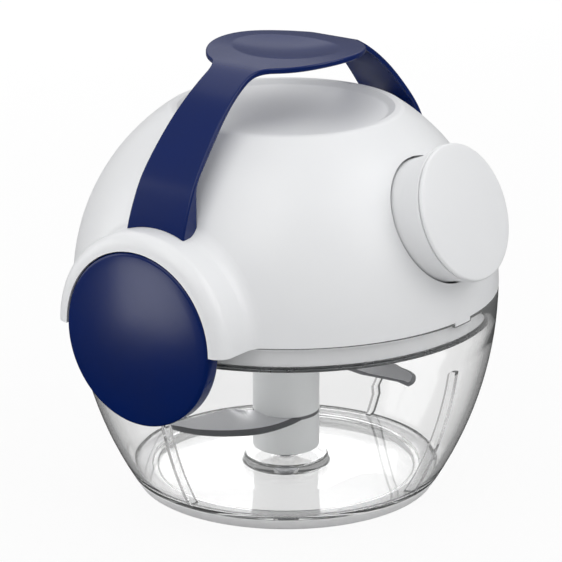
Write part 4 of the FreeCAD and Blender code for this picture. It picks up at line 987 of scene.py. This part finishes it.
# %% Finish for each construction piece
FINISHES = {
    white_abs: ("lid_shell", "inner_cover"),
    navy_abs: ("handle",),
    hub_abs: ("blade_hub", "blade_spacer", "hub_cap"),
    inner_abs: (
        "spring_case", "drive_shaft", "reel", "reel_cover", "lock_cam_left", "lock_cam_right",
    ),
    acetal: ("pivot_bush", "cover_bush", "top_bush", "cord_guide"),
    blade_steel: ("lower_blade", "upper_blade"),
    screw_steel: (
        "pivot_pin", "bush_retaining_ring", "hub_screw", "cover_screws", "spring_case_screws",
        "shaft_ring", "reel_cover_screws", "cord_stopper", "handle_screws", "lock_screws",
        "lock_washers",
    ),
    spring_steel: ("rewind_spring",),
}

for material, names in FINISHES.items():
    for name in names:
        wear(nodes[name], material)
print("dressed:", sum(len(names) for names in FINISHES.values()))

# %% [markdown]
# ## Light
#
# The photograph has the even white light of a light tent. Five large square lamps stand for its lit
# walls, and they are placed by the camera's own directions, so that left means left in the picture.
# The lamp behind lights the top of the lid. It isn't seen in gloss, where it would lie as a grey
# sheen on the dark grip. The small card close to the left lock is the opposite: only gloss sees it,
# as the soft pale patch on the dark blue cover.

# %% Lamps
def area_light(name, toward, distance, size, power):
    """Square lamp that looks at the object from a direction given as (right, over, back)."""
    data = bpy.data.lights.new(name, "AREA")
    data.shape = "SQUARE"
    data.size = size
    data.energy = power
    lamp = bpy.data.objects.new(name, data)
    bpy.context.scene.collection.objects.link(lamp)
    direction = (RIGHT * toward[0] + OVER * toward[1] + BACK * toward[2]).normalized()
    lamp.location = AIM + direction * distance
    lamp.rotation_mode = "QUATERNION"
    lamp.rotation_quaternion = direction.to_track_quat("Z", "Y")
    lamp.visible_camera = False
    return lamp


area_light("key_light", (-0.45, 0.7, 0.9), distance=0.95, size=0.8, power=2.8)
area_light("fill_light", (0.8, 0.6, 0.5), distance=1.0, size=0.8, power=3.7)
area_light("top_light", (0.0, 1.0, -0.35), distance=0.9, size=1.0, power=1.8)
back_light = area_light("back_light", (-0.15, 0.42, -1.0), distance=0.9, size=0.8, power=4.6)
back_light.visible_glossy = False
area_light("left_light", (-1.0, 0.3, -0.1), distance=1.0, size=0.7, power=2.2)
lock_card = area_light(
    "low_white_card", (-0.236, -0.066, 0.115), distance=0.271, size=0.06, power=0.042
)
lock_card.visible_diffuse = False
lock_card.visible_transmission = False

# %% [markdown]
# ## White to the eye
#
# Floor and tent are plain white in the photograph, but that much light all round would wash the
# object out. So they are white only for a ray from the camera, or one that went straight through
# the bowl, and duller for light and for gloss. A ray that was mirrored inside the bowl's wall went
# a long way, and it is given a painted loss of a share of the white, which paints grey shade along
# the bowl's edges.

# %% What the eye sees straight
# The white that a mirrored ray loses is painted shade, drawn grey along the bowl's edges.
MIRRORED_PAINTED_SHADE = 0.45


def straight_view(tree):
    """Share of white that a ray sees, and whether the ray was mirrored on its way."""
    path = add_node(tree, "ShaderNodeLightPath")
    mirrored = add_node(
        tree, "ShaderNodeMath", {0: path.outputs["Glossy Depth"], 1: 0.5}, operation="GREATER_THAN"
    )
    straight = add_node(
        tree,
        "ShaderNodeMath",
        {0: path.outputs["Is Camera Ray"], 1: path.outputs["Is Transmission Ray"]},
        operation="MAXIMUM",
    )
    # A mirrored ray keeps less white, which is painted shade.
    kept = add_node(tree, "ShaderNodeMapRange", {
        "Value": mirrored.outputs[0], "To Min": 1.0, "To Max": 1 - MIRRORED_PAINTED_SHADE,
    })
    white = add_node(
        tree, "ShaderNodeMath", {0: straight.outputs[0], 1: kept.outputs[0]}, operation="MULTIPLY"
    )
    return white.outputs[0], mirrored.outputs[0]


print("a mirrored ray keeps", round(1 - MIRRORED_PAINTED_SHADE, 2), "of the white")

# %% [markdown]
# ## Floor
#
# The floor is white paper. A little of its real shade is mixed into the white, which keeps the
# object's soft shadow. In gloss the floor carries a painted shadow: it is painted dark close to the
# object, in place of the object's shade, and paler further off, though still darker than the paper,
# so that a dark blue lock cover gets a painted reflection that darkens towards its foot.

# %% White paper floor
PAPER_WHITE = 0.92
PAPER_COLOUR = "D8D8D8"
# Gloss sees a painted shadow near the object and painted dim paper further off, fading between two
# distances in metres.
PAINTED_SHADOW_COLOUR = "101010"
PAINTED_DIM_PAPER_COLOUR = "606060"
PAINTED_SHADOW_FULL_WITHIN = 0.15
PAINTED_SHADOW_FADED_AT = 0.42

floor_paper = bpy.data.materials.new("white_paper_floor")
floor_paper.use_nodes = True
paper = floor_paper.node_tree
paper.nodes.clear()
white, mirrored = straight_view(paper)
share = add_node(paper, "ShaderNodeMath", {0: white, 1: PAPER_WHITE}, operation="MULTIPLY")
spot = add_node(paper, "ShaderNodeNewGeometry")
reach = add_node(paper, "ShaderNodeVectorMath", {0: spot.outputs["Position"]}, operation="LENGTH")
painted_shadow_fade = add_node(paper, "ShaderNodeMapRange", {
    "Value": reach.outputs["Value"], "From Min": PAINTED_SHADOW_FULL_WITHIN, "From Max": PAINTED_SHADOW_FADED_AT,
}, interpolation_type="SMOOTHSTEP")
# A painted shadow for gloss, fading out to painted dim paper.
painted_shadow_tone = add_node(paper, "ShaderNodeMix", {
    "Factor": painted_shadow_fade.outputs[0], 6: linear(PAINTED_SHADOW_COLOUR), 7: linear(PAINTED_DIM_PAPER_COLOUR),
}, data_type="RGBA")
tone = add_node(paper, "ShaderNodeMix", {
    "Factor": mirrored, 6: linear(PAPER_COLOUR), 7: painted_shadow_tone.outputs[2],
}, data_type="RGBA")
plain = add_node(paper, "ShaderNodeBsdfDiffuse", {"Color": tone.outputs[2]})
glow = add_node(paper, "ShaderNodeEmission", {"Color": linear("FFFFFF"), "Strength": 1.0})
both = add_node(
    paper, "ShaderNodeMixShader", {0: share.outputs[0], 1: plain.outputs[0], 2: glow.outputs[0]}
)
add_node(paper, "ShaderNodeOutputMaterial", {"Surface": both.outputs[0]})

bpy.ops.object.select_all(action="DESELECT")
bpy.ops.mesh.primitive_circle_add(vertices=96, radius=2.5, fill_type="NGON", location=CENTRE)
floor = bpy.context.object
floor.name = "floor"
floor.data.materials.append(floor_paper)
print("floor is", round(floor.dimensions.x, 2), "m across")

# %% [markdown]
# ## Tent
#
# The world is the tent. It lights the object evenly from all round. Gloss sees a tent that is
# nearly dark at the foot and bright overhead, so that rounded shapes get a soft change of shine.

# %% White tent
AMBIENT_LEVEL = 0.52
TENT_FOOT_LEVEL = 0.05
TENT_TOP_LEVEL = 0.42
TENT_FOOT = -0.35
TENT_TOP = 0.75

world = bpy.data.worlds.new("white_tent")
bpy.context.scene.world = world
world.use_nodes = True
tent = world.node_tree
tent.nodes.clear()
white = straight_view(tent)[0]
path = add_node(tent, "ShaderNodeLightPath")
toward = add_node(tent, "ShaderNodeTexCoord")
height = add_node(tent, "ShaderNodeSeparateXYZ", {0: toward.outputs["Generated"]})
glossy_level = add_node(tent, "ShaderNodeMapRange", {
    "Value": height.outputs["Z"], "From Min": TENT_FOOT, "From Max": TENT_TOP,
    "To Min": TENT_FOOT_LEVEL, "To Max": TENT_TOP_LEVEL,
}, interpolation_type="SMOOTHSTEP")
level = add_node(tent, "ShaderNodeMix", {
    "Factor": path.outputs["Is Glossy Ray"], 2: AMBIENT_LEVEL, 3: glossy_level.outputs[0],
}, data_type="FLOAT")
level = add_node(tent, "ShaderNodeMix", {
    "Factor": white, 2: level.outputs[0], 3: 1.0,
}, data_type="FLOAT")
light = add_node(tent, "ShaderNodeBackground", {
    "Color": linear("FFFFFF"), "Strength": level.outputs[0],
})
add_node(tent, "ShaderNodeOutputWorld", {"Surface": light.outputs[0]})
print("tent lights the object at", AMBIENT_LEVEL, "and shows white at 1.0")
